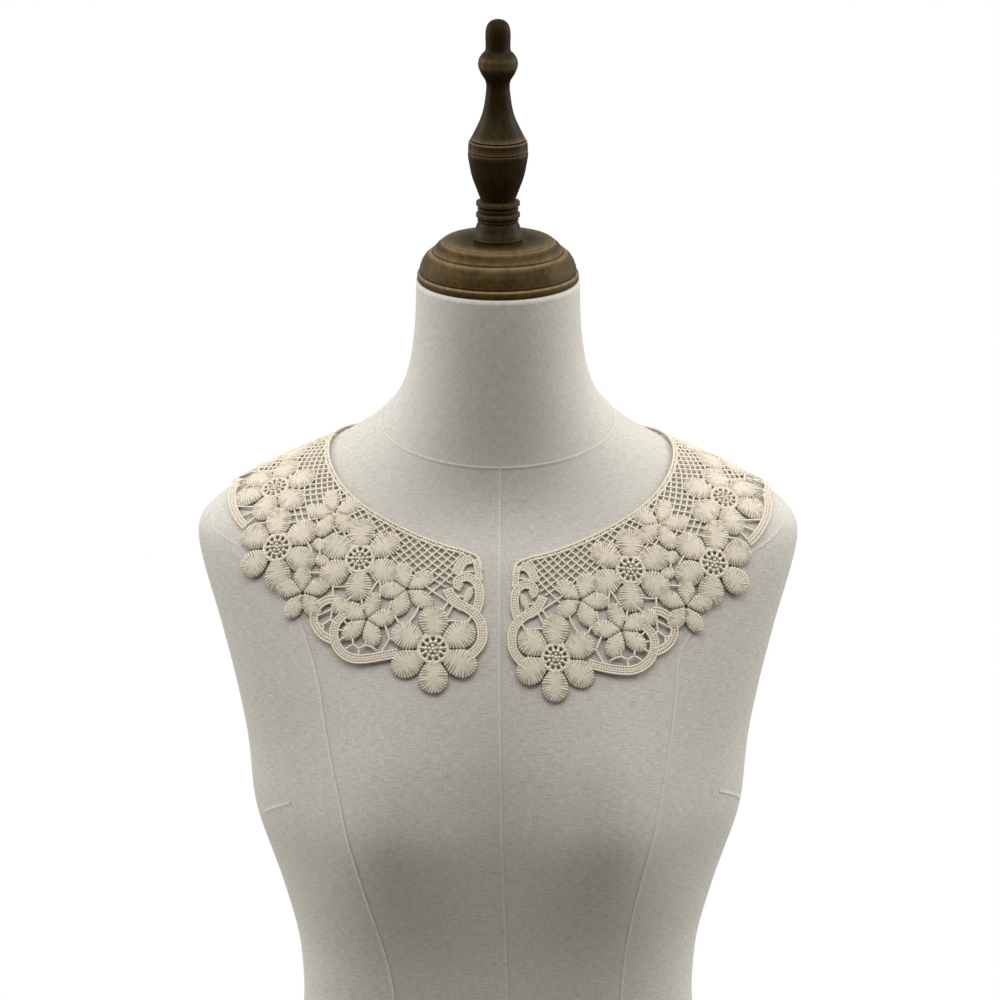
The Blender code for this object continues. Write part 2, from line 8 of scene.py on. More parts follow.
import bpy
import numpy as np
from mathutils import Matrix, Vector


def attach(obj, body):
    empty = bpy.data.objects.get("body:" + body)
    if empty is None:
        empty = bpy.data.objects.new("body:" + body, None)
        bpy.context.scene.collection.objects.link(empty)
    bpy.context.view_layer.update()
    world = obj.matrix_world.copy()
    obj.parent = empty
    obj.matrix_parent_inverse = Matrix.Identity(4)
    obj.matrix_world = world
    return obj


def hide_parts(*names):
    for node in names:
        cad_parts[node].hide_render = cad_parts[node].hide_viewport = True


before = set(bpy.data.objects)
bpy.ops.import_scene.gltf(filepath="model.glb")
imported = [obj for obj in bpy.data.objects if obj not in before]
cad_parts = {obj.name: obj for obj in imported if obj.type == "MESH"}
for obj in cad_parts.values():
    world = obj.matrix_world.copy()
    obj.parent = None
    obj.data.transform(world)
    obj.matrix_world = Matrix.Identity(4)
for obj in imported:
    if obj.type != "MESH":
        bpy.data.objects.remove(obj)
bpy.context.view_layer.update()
MM = 0.001

# Bust form, the same table as the solid: height, centre_y, tilt_deg, half_width, front, back, squareness
SECTIONS = (
    (0.000, 0.010, 0.0, 0.1630, 0.1000, 0.1040, 2.30),
    (0.030, 0.010, 0.0, 0.1670, 0.1040, 0.1100, 2.30),
    (0.070, 0.009, 0.0, 0.1670, 0.1050, 0.1120, 2.30),
    (0.120, 0.006, 0.0, 0.1545, 0.1000, 0.1000, 2.30),
    (0.170, 0.003, 0.0, 0.1355, 0.0910, 0.0820, 2.25),
    (0.215, 0.000, 0.0, 0.1255, 0.0840, 0.0730, 2.20),
    (0.258, 0.000, 0.0, 0.1285, 0.0880, 0.0770, 2.20),
    (0.300, 0.002, 0.0, 0.1410, 0.0980, 0.0850, 2.20),
    (0.345, 0.004, 0.0, 0.1580, 0.1060, 0.0940, 2.20),
    (0.390, 0.006, 0.0, 0.1615, 0.1060, 0.0980, 2.20),
    (0.430, 0.008, 2.0, 0.1700, 0.1010, 0.0990, 2.20),
    (0.470, 0.010, 5.0, 0.1805, 0.0910, 0.0960, 2.15),
    (0.500, 0.012, 8.0, 0.1900, 0.0810, 0.0900, 2.10),
    (0.520, 0.014, 11.0, 0.1945, 0.0750, 0.0840, 2.05),
    (0.533, 0.015, 14.0, 0.1965, 0.0700, 0.0790, 2.00),
    (0.543, 0.016, 17.0, 0.1845, 0.0670, 0.0750, 2.00),
    (0.553, 0.016, 20.0, 0.1560, 0.0640, 0.0720, 2.00),
    (0.563, 0.016, 23.0, 0.1245, 0.0620, 0.0690, 2.00),
    (0.574, 0.015, 26.0, 0.0960, 0.0600, 0.0650, 2.00),
    (0.588, 0.013, 27.0, 0.0780, 0.0580, 0.0610, 2.00),
    (0.604, 0.010, 25.0, 0.0645, 0.0560, 0.0580, 2.00),
    (0.624, 0.005, 20.0, 0.0570, 0.0540, 0.0550, 2.00),
    (0.648, -0.001, 15.0, 0.0533, 0.0525, 0.0530, 2.00),
    (0.668, -0.006, 12.0, 0.0520, 0.0520, 0.0520, 2.00),
    (0.6845, -0.009, 10.5, 0.0520, 0.0520, 0.0520, 2.00),
)
SMOOTHING_PASSES = 30
STAND_SHIFT = -0.002814
TABLE_STEP = 0.0005
BUST = {"side": 0.080, "height": 0.342, "forward": 0.024, "wide": 0.056, "up": 0.075, "down": 0.062}
NECKLINE = (0.5543, -0.0092, -0.0146, -0.0023, 0.0013, 0.0007)

# Lace, in millimetres.
CLEARANCE = 0.65
SHOULDER_LIFT = 0.5
SHOULDER_AT = 180.0
EDGE_LIFT = 1.1
SEAM_GAP = 0.3
HANG_ALONG = 3.0
HANG_DOWN = 2.2
BACK_DEPTH = 62.0
NET_REACH = ((0.0, 25.0), (92.0, 25.0), (112.0, 40.0), (135.0, 46.0), (240.0, 46.0), (300.0, 40.0), (400.0, 38.0))
NET_PITCH = (3.95, 3.75)
TAPE_WIDTH = 5.4

# Flowers on the flat pattern: across, up, petals, turn_deg, petal_reach, petal_length, petal_width
BIG = (17.7, 10.1, 8.7)
SMALL = (9.9, 8.9, 5.7)
FLOWERS = (
    (38.2, -63.3, 6, 90.0) + BIG,
    (85.3, -3.5, 6, 91.0) + BIG,
    (138.9, 7.1, 6, 89.0) + BIG,
    (146.5, 55.0, 6, 42.0) + BIG,
    (152.0, 108.0, 6, 60.0) + BIG,
    (140.0, 160.5, 6, 90.0) + BIG,
    (107.5, 202.0, 6, 76.0) + BIG,
    (80.0, -43.5, 5, 34.0) + SMALL,
    (54.0, -25.0, 5, 1.0) + SMALL,
    (103.4, 29.5, 5, 8.0) + SMALL,
    (121.8, -23.5, 5, 20.0) + SMALL,
)

# Single leaves: across, up, turn_deg, length, width, stitches
LEAVES = (
    (17.6, -28.4, 112.0, 5.6, 2.5, 16),
    (97.6, -33.4, 15.0, 5.8, 5.4, 20),
    (111.6, 7.2, 60.0, 4.7, 3.9, 16),
    (109.2, -3.6, 20.0, 4.9, 3.9, 16),
    (118.5, 33.0, 80.0, 4.6, 3.8, 16),
)

# Outer edge of the flat pattern: across, up, swell, has_tape
EDGE = (
    (10.6, 0.6, 1.2, True),
    (9.4, -36.5, 4.4, True),
    (19.5, -70.0, 0.0, False),
    (58.0, -68.5, 10.5, True),
    (105.5, -50.0, 9.0, True),
    (108.5, -24.0, 0.0, False),
    (128.0, -2.0, 0.0, False),
    (150.0, 12.0, 0.0, False),
    (161.0, 24.0, 5.0, True),
    (176.0, 66.0, 6.5, True),
    (175.5, 112.0, 6.5, True),
    (160.0, 157.0, 6.5, True),
    (134.0, 197.0, 6.0, True),
    (108.0, 229.0, 3.0, True),
)
FIRST_PLAIN_SCALLOP = 8

# Tapes of the front: width, cords and the points of the middle line.
TAPES = (
    (4.4, 3, ((13.6, -4.6), (12.4, -8.6), (11.7, -14.0), (11.2, -19.0))),
    (5.8, 4, ((13.2, -39.4), (11.4, -33.4), (11.0, -26.8), (12.3, -20.8), (16.0, -17.2), (20.2, -16.7),
              (23.6, -18.6), (23.8, -21.8), (21.4, -23.4))),
    (6.2, 4, ((29.6, -24.2), (28.2, -28.2), (25.0, -32.4), (20.8, -35.4), (15.0, -39.4), (10.4, -45.6),
              (9.2, -52.5), (10.2, -59.2), (13.8, -64.6), (18.6, -69.0))),
    (6.2, 4, ((59.5, -66.0), (68.0, -67.6), (77.0, -68.8), (86.0, -68.6), (93.4, -65.4), (98.6, -60.0),
              (101.0, -53.4), (100.6, -46.8), (97.0, -41.6), (92.0, -38.0))),
    (5.6, 3, ((102.0, -55.4), (108.6, -51.4), (113.4, -45.0), (114.4, -38.4), (111.4, -32.6), (105.8, -29.4),
              (99.6, -29.0))),
    (6.4, 5, ((15.6, -4.6), (18.8, -5.2), (21.6, -7.4), (23.6, -11.2), (24.8, -15.2))),
)

# Thin bars placed between the motifs of the front, each a line through its points.
BARS = (
    ((44.5, -21.5), (38.0, -26.6), (31.5, -31.2), (25.6, -35.8), (21.6, -38.4)),
    ((26.5, -35.0), (30.6, -43.0)),
    ((29.6, -33.0), (34.0, -41.0)),
    ((46.6, -35.0), (49.0, -41.0), (53.0, -47.0)),
    ((64.0, -32.0), (66.6, -42.0)),
    ((72.6, -18.0), (71.4, -24.0), (71.8, -30.0)),
    ((83.8, -28.5), (82.4, -37.6)),
    ((88.6, -26.5), (96.4, -34.0)),
    ((67.4, -48.5), (64.6, -56.6)),
    ((64.6, -56.6), (59.6, -57.2)),
    ((64.6, -56.6), (69.4, -65.4)),
    ((73.0, -63.6), (76.4, -61.4), (80.4, -60.4), (84.0, -62.0), (88.0, -59.4), (93.0, -61.6)),
    ((80.4, -60.4), (79.0, -56.0)),
    ((88.0, -59.4), (88.6, -55.0)),
    ((84.0, -62.0), (84.6, -67.0)),
    ((103.4, -41.8), (102.6, -36.4)),
    ((103.4, -41.8), (99.4, -45.4)),
    ((103.4, -41.8), (108.4, -44.6), (113.0, -43.6)),
    ((108.4, -44.6), (108.4, -50.0)),
    ((18.6, -33.0), (17.2, -37.6)),
    ((15.4, -24.0), (13.0, -21.6)),
)

# Ground that the net leaves free: the front corner, where tapes and dense stitches fill in.
CORNER = ((8.0, 3.0), (15.0, -1.0), (19.6, -1.6), (23.8, -5.4), (26.0, -10.4), (26.6, -15.0), (26.6, -20.0),
          (28.6, -24.6), (26.0, -30.0), (8.0, -40.0))

# Turned wood, in millimetres: radius and height of each ring above its own foot, and how worn its edge is, which also
# paints a pale highlight line on that edge.
NECK_CAP_RINGS = (
    (50.6, 0.0, 0.1), (51.3, 1.0, 0.0), (51.3, 3.4, 0.2), (51.2, 4.2, 0.9), (50.3, 4.9, 1.0), (49.6, 5.1, 0.0), (49.6, 5.5, 0.0),
    (49.9, 6.0, 0.15), (49.5, 8.6, 0.0), (48.1, 12.4, 0.0), (46.0, 15.6, 0.0), (43.4, 17.8, 0.6),
    (42.6, 18.2, 1.0), (41.6, 18.2, 0.0), (41.2, 18.7, 0.0), (41.2, 19.4, 0.4), (38.7, 22.5, 0.0),
    (35.6, 25.0, 0.7), (34.2, 25.9, 0.5), (18.0, 25.9, 0.0),
)
CAP_TOP = 25.9
FINIAL_RINGS = (
    (14.9, 0.0, 0.3), (15.7, 1.2, 0.4), (15.5, 3.8, 0.1), (13.5, 9.4, 0.0), (12.4, 11.6, 0.0),
    (13.0, 12.3, 0.1), (13.0, 13.4, 0.1), (12.2, 14.0, 0.0), (13.9, 15.0, 0.12), (13.9, 17.0, 0.2),
    (12.0, 18.3, 0.0), (12.9, 19.2, 0.1), (12.9, 20.5, 0.1), (12.0, 21.3, 0.0), (13.9, 22.5, 0.12),
    (13.8, 24.5, 0.2), (11.0, 25.9, 0.0), (13.5, 32.5, 0.0), (16.7, 41.7, 0.0), (18.9, 53.7, 0.0),
    (18.8, 56.3, 0.2), (18.3, 56.8, 0.0), (18.9, 57.4, 0.3), (18.5, 62.4, 0.0), (18.2, 63.4, 0.6),
    (16.9, 64.0, 0.0), (17.3, 64.8, 0.4),
    (14.8, 69.5, 0.0), (10.1, 80.3, 0.0), (7.9, 91.9, 0.0), (7.6, 100.6, 0.0),
    (10.7, 106.5, 0.0), (12.4, 111.2, 0.3), (12.0, 115.4, 0.2), (9.9, 118.8, 0.0), (7.9, 121.4, 0.0),
    (7.9, 130.6, 0.0), (7.5, 134.6, 0.0), (6.4, 137.4, 0.0), (4.4, 139.4, 0.0), (2.0, 140.3, 0.0),
    (0.5, 140.5, 0.0),
)
SHARP_RINGS = (0, 1, 2, 4, 5, 6, 7, 8, 9, 10, 11, 12, 13, 14, 15, 16, 20, 21, 22, 24, 25, 26)

# Seams of the linen cover: ring angle in degrees and ring height, from top to bottom.
SEAMS = (
    ((-88.0, 0.594), (-88.6, 0.52), (-89.0, 0.434), (-88.2, 0.338), (-85.8, 0.238), (-85.0, 0.15), (-86.0, 0.0)),
    ((92.0, 0.594), (91.4, 0.50), (91.4, 0.35), (92.0, 0.20), (92.0, 0.0)),
    ((-6.8, 0.5310), (-12.5, 0.5225), (-15.4, 0.5180), (-25.0, 0.4860), (-33.0, 0.4590), (-35.5, 0.4300),
     (-37.2, 0.4040), (-39.2, 0.3770), (-41.2, 0.3490), (-42.6, 0.3210), (-42.9, 0.2910), (-42.3, 0.2630),
     (-41.8, 0.2330), (-42.0, 0.1800), (-44.0, 0.0800), (-44.0, 0.0)),
    ((-173.2, 0.5310), (-168.5, 0.5265), (-165.5, 0.5215), (-152.5, 0.4820), (-148.0, 0.4600), (-144.8, 0.4390),
     (-143.3, 0.4230), (-141.0, 0.3950), (-138.2, 0.3650), (-136.0, 0.3340), (-134.5, 0.3070), (-132.5, 0.2720),
     (-130.5, 0.2350), (-131.0, 0.1800), (-134.0, 0.0800), (-134.0, 0.0)),
    ((8.0, 0.5300), (18.0, 0.5160), (30.0, 0.4880), (38.0, 0.4450), (43.0, 0.3950), (46.0, 0.3350), (48.0, 0.2600),
     (49.0, 0.2000), (50.0, 0.1000), (50.0, 0.0)),
    ((172.0, 0.5300), (162.0, 0.5160), (150.0, 0.4880), (142.0, 0.4450), (137.0, 0.3950), (134.0, 0.3350),
     (132.0, 0.2600), (131.0, 0.2000), (130.0, 0.1000), (130.0, 0.0)),
    ((6.0, 0.5080), (5.0, 0.4600), (4.0, 0.3800), (3.0, 0.3000), (3.0, 0.2200), (3.0, 0.1000), (3.0, 0.0)),
    ((174.0, 0.5080), (175.0, 0.4600), (176.0, 0.3800), (177.0, 0.3000), (177.0, 0.2200), (177.0, 0.1000),
     (177.0, 0.0)),
    ((-8.0, 0.3500), (-14.5, 0.3560), (-21.5, 0.3620)),
    ((-166.6, 0.3455), (-160.0, 0.3520), (-153.6, 0.3585)),
)
NECK_SEAM_HEIGHT = 0.5935

# Softboxes: name, place, aim, size and power
LAMPS = (
    ("overhead", (0.0, -0.47, 1.36), (0.0, -0.06, 0.48), (1.1, 0.6), 5.3),
    ("left_side", (-1.15, 0.20, 1.02), (-0.12, 0.0, 0.50), (0.5, 0.9), 5.9),
    ("right_side", (1.15, 0.20, 1.02), (0.12, 0.0, 0.50), (0.5, 0.9), 6.9),
    ("key", (-0.75, -1.15, 1.55), (0.0, 0.0, 0.50), (0.6, 0.6), 1.0),
)
LINEN = (0.665, 0.645, 0.60, 1.0)
LINEN_DARK = (0.47, 0.447, 0.395, 1.0)
COTTON = (0.79, 0.72, 0.605, 1.0)
# Dark end of the cotton: painted shade in hollows, under threads and between stitches, and also fibre mottle.
COTTON_SHADE_AND_FIBRE = (0.24, 0.195, 0.11, 1.0)
CAP_COLOURS = ((0.034, 0.020, 0.0045, 1.0), (0.092, 0.057, 0.0145, 1.0))
FINIAL_COLOURS = ((0.0125, 0.0072, 0.0015, 1.0), (0.038, 0.022, 0.0052, 1.0))
# Pale wood of worn edges, which also serves as a painted highlight along the ring edges.
WOOD_WORN_AND_HIGHLIGHT = (0.37, 0.27, 0.145, 1.0)


def smooth_sections():
    rows = np.array(SECTIONS)
    heights = np.arange(rows[0, 0], rows[-1, 0] + TABLE_STEP / 2, TABLE_STEP)
    columns = []
    for k in range(1, rows.shape[1]):
        fine = np.interp(heights, rows[:, 0], rows[:, k])
        for _ in range(SMOOTHING_PASSES):
            padded = np.concatenate([2 * fine[0] - fine[6:0:-1], fine, 2 * fine[-1] - fine[-2:-8:-1]])
            fine = np.convolve(padded, np.ones(13) / 13, mode="valid")
        columns.append(fine)
    return heights, columns


HEIGHTS, COLUMNS = smooth_sections()


def form_point(turn, height):
    """Point of the form at a ring angle (0 at +X, -90 degrees in front) and ring height."""
    turn, height = np.broadcast_arrays(np.asarray(turn, float), np.asarray(height, float))
    centre, tilt, wide, front, back, square = (np.interp(height, HEIGHTS, c) for c in COLUMNS)
    cos, sin = np.cos(turn), np.sin(turn)
    deep = np.where(sin < 0, front, back)
    reach = (np.abs(cos / wide) ** square + np.abs(sin / deep) ** square) ** (-1 / square)
    x, y = reach * cos, reach * sin
    rise = height - BUST["height"]
    spread = np.where(rise > 0, BUST["up"], BUST["down"])
    mound = np.exp(-((np.abs(x) - BUST["side"]) / BUST["wide"]) ** 2 - (rise / spread) ** 2)
    facing = np.maximum(-sin, 0)
    y = y - BUST["forward"] * mound * facing * facing * (3 - 2 * facing)
    lean = np.radians(tilt)
    return np.stack([x, centre + STAND_SHIFT + y * np.cos(lean), height + y * np.sin(lean)], -1)


def form_slopes(turn, height):
    a, h = 0.004, 0.001
    by_turn = (form_point(turn + a, height) - form_point(turn - a, height)) / (2 * a)
    by_height = (form_point(turn, height + h) - form_point(turn, height - h)) / (2 * h)
    return by_turn, by_height


def unit(v):
    return v / np.maximum(np.linalg.norm(v, axis=-1, keepdims=True), 1e-12)


def neckline_height(angle):
    return sum(c * np.cos(k * angle) for k, c in enumerate(NECKLINE))


def surface_step(turn, height, heading, length):
    by_turn, by_height = form_slopes(turn, height)
    move = heading * length
    aa = (by_turn * by_turn).sum(-1)
    ab = (by_turn * by_height).sum(-1)
    bb = (by_height * by_height).sum(-1)
    am = (by_turn * move).sum(-1)
    bm = (by_height * move).sum(-1)
    det = aa * bb - ab * ab
    return (bb * am - ab * bm) / det, (aa * bm - ab * am) / det


class Ground:
    """The band of the form that one half of the collar lies on, laid out flat."""

    def __init__(self, step=3.0, depth=108.0, before=24.0, beyond=12.0):
        angle = np.radians(np.linspace(-20, 200, 4401))
        points = form_point(angle - math.pi / 2, neckline_height(angle))
        run = np.concatenate([[0], np.cumsum(np.linalg.norm(np.diff(points, axis=0), axis=1))]) / MM
        run -= np.interp(0, angle, run)
        self.half = float(np.interp(math.pi, angle, run))
        count = int((self.half + beyond + before) / step)
        self.along = -before + step * np.arange(count + 1)
        at = np.interp(self.along, run, angle)
        turn, height = at - math.pi / 2, neckline_height(at)
        by_turn, by_height = form_slopes(turn, height)
        normal = unit(np.cross(by_turn, by_height))
        start = form_point(turn, height)
        tangent = unit(np.gradient(start, axis=0))
        heading = np.cross(tangent, normal)
        bend = -(np.gradient(tangent, self.along, axis=0) * heading).sum(1)
        bend = np.convolve(np.pad(bend, 3, mode="edge"), np.ones(7) / 7, mode="valid")
        self.out = step * np.arange(int(depth / step) + 1)
        points, normals = [start], [normal]
        parts = 3
        for _ in range(len(self.out) - 1):
            for _ in range(parts):
                a, b = surface_step(turn, height, heading, step * MM / parts)
                by_turn, by_height = form_slopes(turn + a / 2, height + b / 2)
                across = unit(np.cross(by_turn, by_height))
                heading = unit(heading - (heading * across).sum(-1, keepdims=True) * across)
                a, b = surface_step(turn + a / 2, height + b / 2, heading, step * MM / parts)
                turn, height = turn + a, height + b
                across = unit(np.cross(*form_slopes(turn, height)))
                heading = unit(heading - (heading * across).sum(-1, keepdims=True) * across)
            points.append(form_point(turn, height))
            normals.append(across)
        self.points, self.normals = np.array(points), np.array(normals)
        fine = np.linspace(self.along[0], self.along[-1], 1600)
        bend = np.interp(fine, self.along, bend)
        gap = fine[1] - fine[0]
        angle = np.cumsum(bend) * gap
        angle -= np.interp(0, fine, angle)
        across, up = np.cumsum(np.cos(angle)) * gap, np.cumsum(np.sin(angle)) * gap
        across -= np.interp(0, fine, across)
        up -= np.interp(0, fine, up)
        self.fine, self.bend, self.angle, self.line = fine, bend, angle, np.stack([across, up], 1)
        self.chart()

    def flat(self, along, out):
        """Flat pattern point at a distance along the neckline and out from it."""
        angle = np.interp(along, self.fine, self.angle)
        x = np.interp(along, self.fine, self.line[:, 0]) + out * np.sin(angle)
        y = np.interp(along, self.fine, self.line[:, 1]) - out * np.cos(angle)
        return np.stack([x, y], -1)

    def unflat(self, flat):
        """Distance along the neckline and out from it of flat pattern points."""
        flat = np.atleast_2d(np.asarray(flat, float))
        along, out = [], []
        for part in np.array_split(flat, max(1, len(flat) // 2000)):
            near = np.argmin(((part[:, None] - self.line[None]) ** 2).sum(-1), axis=1)
            away = part - self.line[near]
            angle = self.angle[near]
            ahead = away[:, 0] * np.cos(angle) + away[:, 1] * np.sin(angle)
            far = away[:, 0] * np.sin(angle) - away[:, 1] * np.cos(angle)
            out.append(far)
            along.append(self.fine[near] + ahead / (1 + self.bend[near] * np.maximum(far, 0)))
        return np.concatenate(along), np.concatenate(out)

    def chart(self):
        """Places every whole millimetre of the flat pattern once, for quick laying."""
        edge = np.concatenate([self.flat(self.along, np.full(len(self.along), d)) for d in (0.0, 100.0)])
        self.low = np.floor(edge.min(0)) - 4
        size = (np.ceil(edge.max(0)) + 4 - self.low).astype(int)
        x, y = np.meshgrid(self.low[0] + np.arange(size[0]), self.low[1] + np.arange(size[1]), indexing="ij")
        along, out = self.unflat(np.stack([x.ravel(), y.ravel()], 1))
        self.chart_along, self.chart_out = along.reshape(size), out.reshape(size)
        free = np.clip((out - 42) / 38, 0, 1)
        wave = 0.62 + 0.38 * np.sin(along / 7.5 + 0.6)
        ridge = SHOULDER_LIFT * np.exp(-((along - SHOULDER_AT) / 38) ** 2)
        lift = CLEARANCE + ridge + EDGE_LIFT * free * free * (3 - 2 * free) * wave
        self.maps = {}
        for side in (1.0, -1.0):
            fade = np.clip((250 - along) / 90, 0, 1)
            fade = fade * fade * (3 - 2 * fade)
            at = along - side * HANG_ALONG * fade * np.clip(along / 40, 0, 1)
            down = out + side * HANG_DOWN * fade
            i = np.clip((at - self.along[0]) / (self.along[1] - self.along[0]), 0, len(self.along) - 1.001)
            j = np.clip(down / (self.out[1] - self.out[0]), -1.5, len(self.out) - 1.001)
            i0, j0 = np.floor(i).astype(int), np.maximum(np.floor(j).astype(int), 0)
            fi, fj = (i - i0)[:, None], (j - j0)[:, None]
            layers = []
            for grid in (self.points, self.normals):
                near = grid[j0, i0] * (1 - fi) + grid[j0, i0 + 1] * fi
                far = grid[j0 + 1, i0] * (1 - fi) + grid[j0 + 1, i0 + 1] * fi
                layers.append(near * (1 - fj) + far * fj)
            layers[1] = unit(layers[1])
            self.maps[side] = np.concatenate(layers + [lift[:, None]], 1).reshape(tuple(size) + (7,))

    def lay(self, flat, side, high):
        """Places flat points on the form, this many millimetres above the lace's underside."""
        at = np.clip(flat - self.low, 0, np.array(self.chart_out.shape) - 1.001)
        i = np.floor(at).astype(int)
        f = at - i
        table = self.maps[side]
        fx, fy = f[:, :1], f[:, 1:]
        spot = (table[i[:, 0], i[:, 1]] * (1 - fx) * (1 - fy) + table[i[:, 0] + 1, i[:, 1]] * fx * (1 - fy)
                + table[i[:, 0], i[:, 1] + 1] * (1 - fx) * fy + table[i[:, 0] + 1, i[:, 1] + 1] * fx * fy)
        made = spot[:, :3] + unit(spot[:, 3:6]) * ((high + spot[:, 6]) * MM)[:, None]
        made[:, 0] = side * np.maximum(made[:, 0], SEAM_GAP / 2 * MM)
        return made

    def depth(self, flat):
        """Distance out from the neckline, from the chart."""
        at = np.clip(np.round(flat - self.low).astype(int), 0, np.array(self.chart_out.shape) - 1)
        return self.chart_out[at[:, 0], at[:, 1]], self.chart_along[at[:, 0], at[:, 1]]


def spline(points, spacing=1.3):
    """Smooth line through the points, evenly spaced."""
    p = np.array(points, float)
    p = np.concatenate([[2 * p[0] - p[1]], p, [2 * p[-1] - p[-2]]])
    line = []
    for k in range(1, len(p) - 2):
        for t in np.arange(12) / 12:
            line.append(0.5 * (2 * p[k] + (p[k + 1] - p[k - 1]) * t
                               + (2 * p[k - 1] - 5 * p[k] + 4 * p[k + 1] - p[k + 2]) * t * t
                               + (3 * p[k] - p[k - 1] - 3 * p[k + 1] + p[k + 2]) * t ** 3))
    line.append(p[-2])
    return evenly(np.array(line), spacing)


def evenly(line, spacing):
    run = np.concatenate([[0], np.cumsum(np.linalg.norm(np.diff(line, axis=0), axis=1))])
    count = max(2, int(round(run[-1] / spacing)) + 1)
    at = np.linspace(0, run[-1], count)
    return np.stack([np.interp(at, run, line[:, k]) for k in range(line.shape[1])], 1)


def arc(start, end, swell, spacing=1.3):
    """Points from start to end, swelling to the right of the way by a sine arch."""
    start, end = np.array(start, float), np.array(end, float)
    way = end - start
    length = np.linalg.norm(way)
    right = np.array([way[1], -way[0]]) / length
    share = np.linspace(0, 1, 80)
    arch = np.sin(np.pi * share) ** 0.75
    return evenly(start + share[:, None] * way + (arch * swell)[:, None] * right, spacing)


def sides_of(line):
    """Unit direction and unit right-hand side at each point of a line."""
    way = unit(np.gradient(line, axis=-2))
    return way, np.stack([way[..., 1], -way[..., 0]], -1)


def inside(points, outline):
    x, y = points[:, 0], points[:, 1]
    hit = np.zeros(len(points), bool)
    for (ax, ay), (bx, by) in zip(outline, np.roll(outline, -1, axis=0)):
        if ay == by:
            continue
        cross = (ay > y) != (by > y)
        hit ^= cross & (x < (bx - ax) * (y - ay) / (by - ay) + ax)
    return hit


class Mesh:
    """Collects quads and triangles with their thread coordinates, tones, and painted shade and highlight (on wood,
    wear with a painted highlight).
    """

    def __init__(self):
        self.points, self.quads, self.tris, self.quad_uv, self.tri_uv = [], [], [], [], []
        self.hollow, self.tone, self.count = [], [], 0

    def add(self, points, quads, quad_uv, tris=None, tri_uv=None, hollow=0.0, tone=0.5):
        n = len(points)
        self.points.append(points)
        self.quads.append(quads + self.count)
        self.quad_uv.append(quad_uv)
        if tris is not None:
            self.tris.append(tris + self.count)
            self.tri_uv.append(tri_uv)
        self.hollow.append(np.broadcast_to(hollow, n))
        self.tone.append(np.broadcast_to(tone, n))
        self.count += n

    def triangles(self):
        return 2 * sum(len(q) for q in self.quads) + sum(len(t) for t in self.tris)

    def build(self, name, points, flip, paint):
        quads = np.concatenate(self.quads)
        quad_uv = np.concatenate(self.quad_uv)
        tris = np.concatenate(self.tris) if self.tris else np.zeros((0, 3), int)
        tri_uv = np.concatenate(self.tri_uv) if self.tris else np.zeros((0, 3, 2))
        if flip:
            quads, quad_uv = quads[:, ::-1], quad_uv[:, ::-1]
            tris, tri_uv = tris[:, ::-1], tri_uv[:, ::-1]
        mesh = bpy.data.meshes.new(name)
        mesh.vertices.add(len(points))
        mesh.vertices.foreach_set("co", points.astype(np.float32).ravel())
        loops = np.concatenate([quads.ravel(), tris.ravel()])
        mesh.loops.add(len(loops))
        mesh.loops.foreach_set("vertex_index", loops.astype(np.int32))
        mesh.polygons.add(len(quads) + len(tris))
        starts = np.concatenate([np.arange(len(quads)) * 4, len(quads) * 4 + np.arange(len(tris)) * 3])
        mesh.polygons.foreach_set("loop_start", starts.astype(np.int32))
        mesh.update(calc_edges=True)
        uv = mesh.uv_layers.new(name="UVMap")
        both = np.concatenate([quad_uv.reshape(-1, 2), tri_uv.reshape(-1, 2)])
        uv.data.foreach_set("uv", both.astype(np.float32).ravel())
        for key, values in (("hollow", self.hollow), ("tone", self.tone)):
            layer = mesh.attributes.new(key, "FLOAT", "POINT")
            layer.data.foreach_set("value", np.concatenate(values).astype(np.float32))
        mesh.validate()
        mesh.shade_smooth()
        mesh.materials.append(paint)
        made = bpy.data.objects.new(name, mesh)
        bpy.context.scene.collection.objects.link(made)
        return made


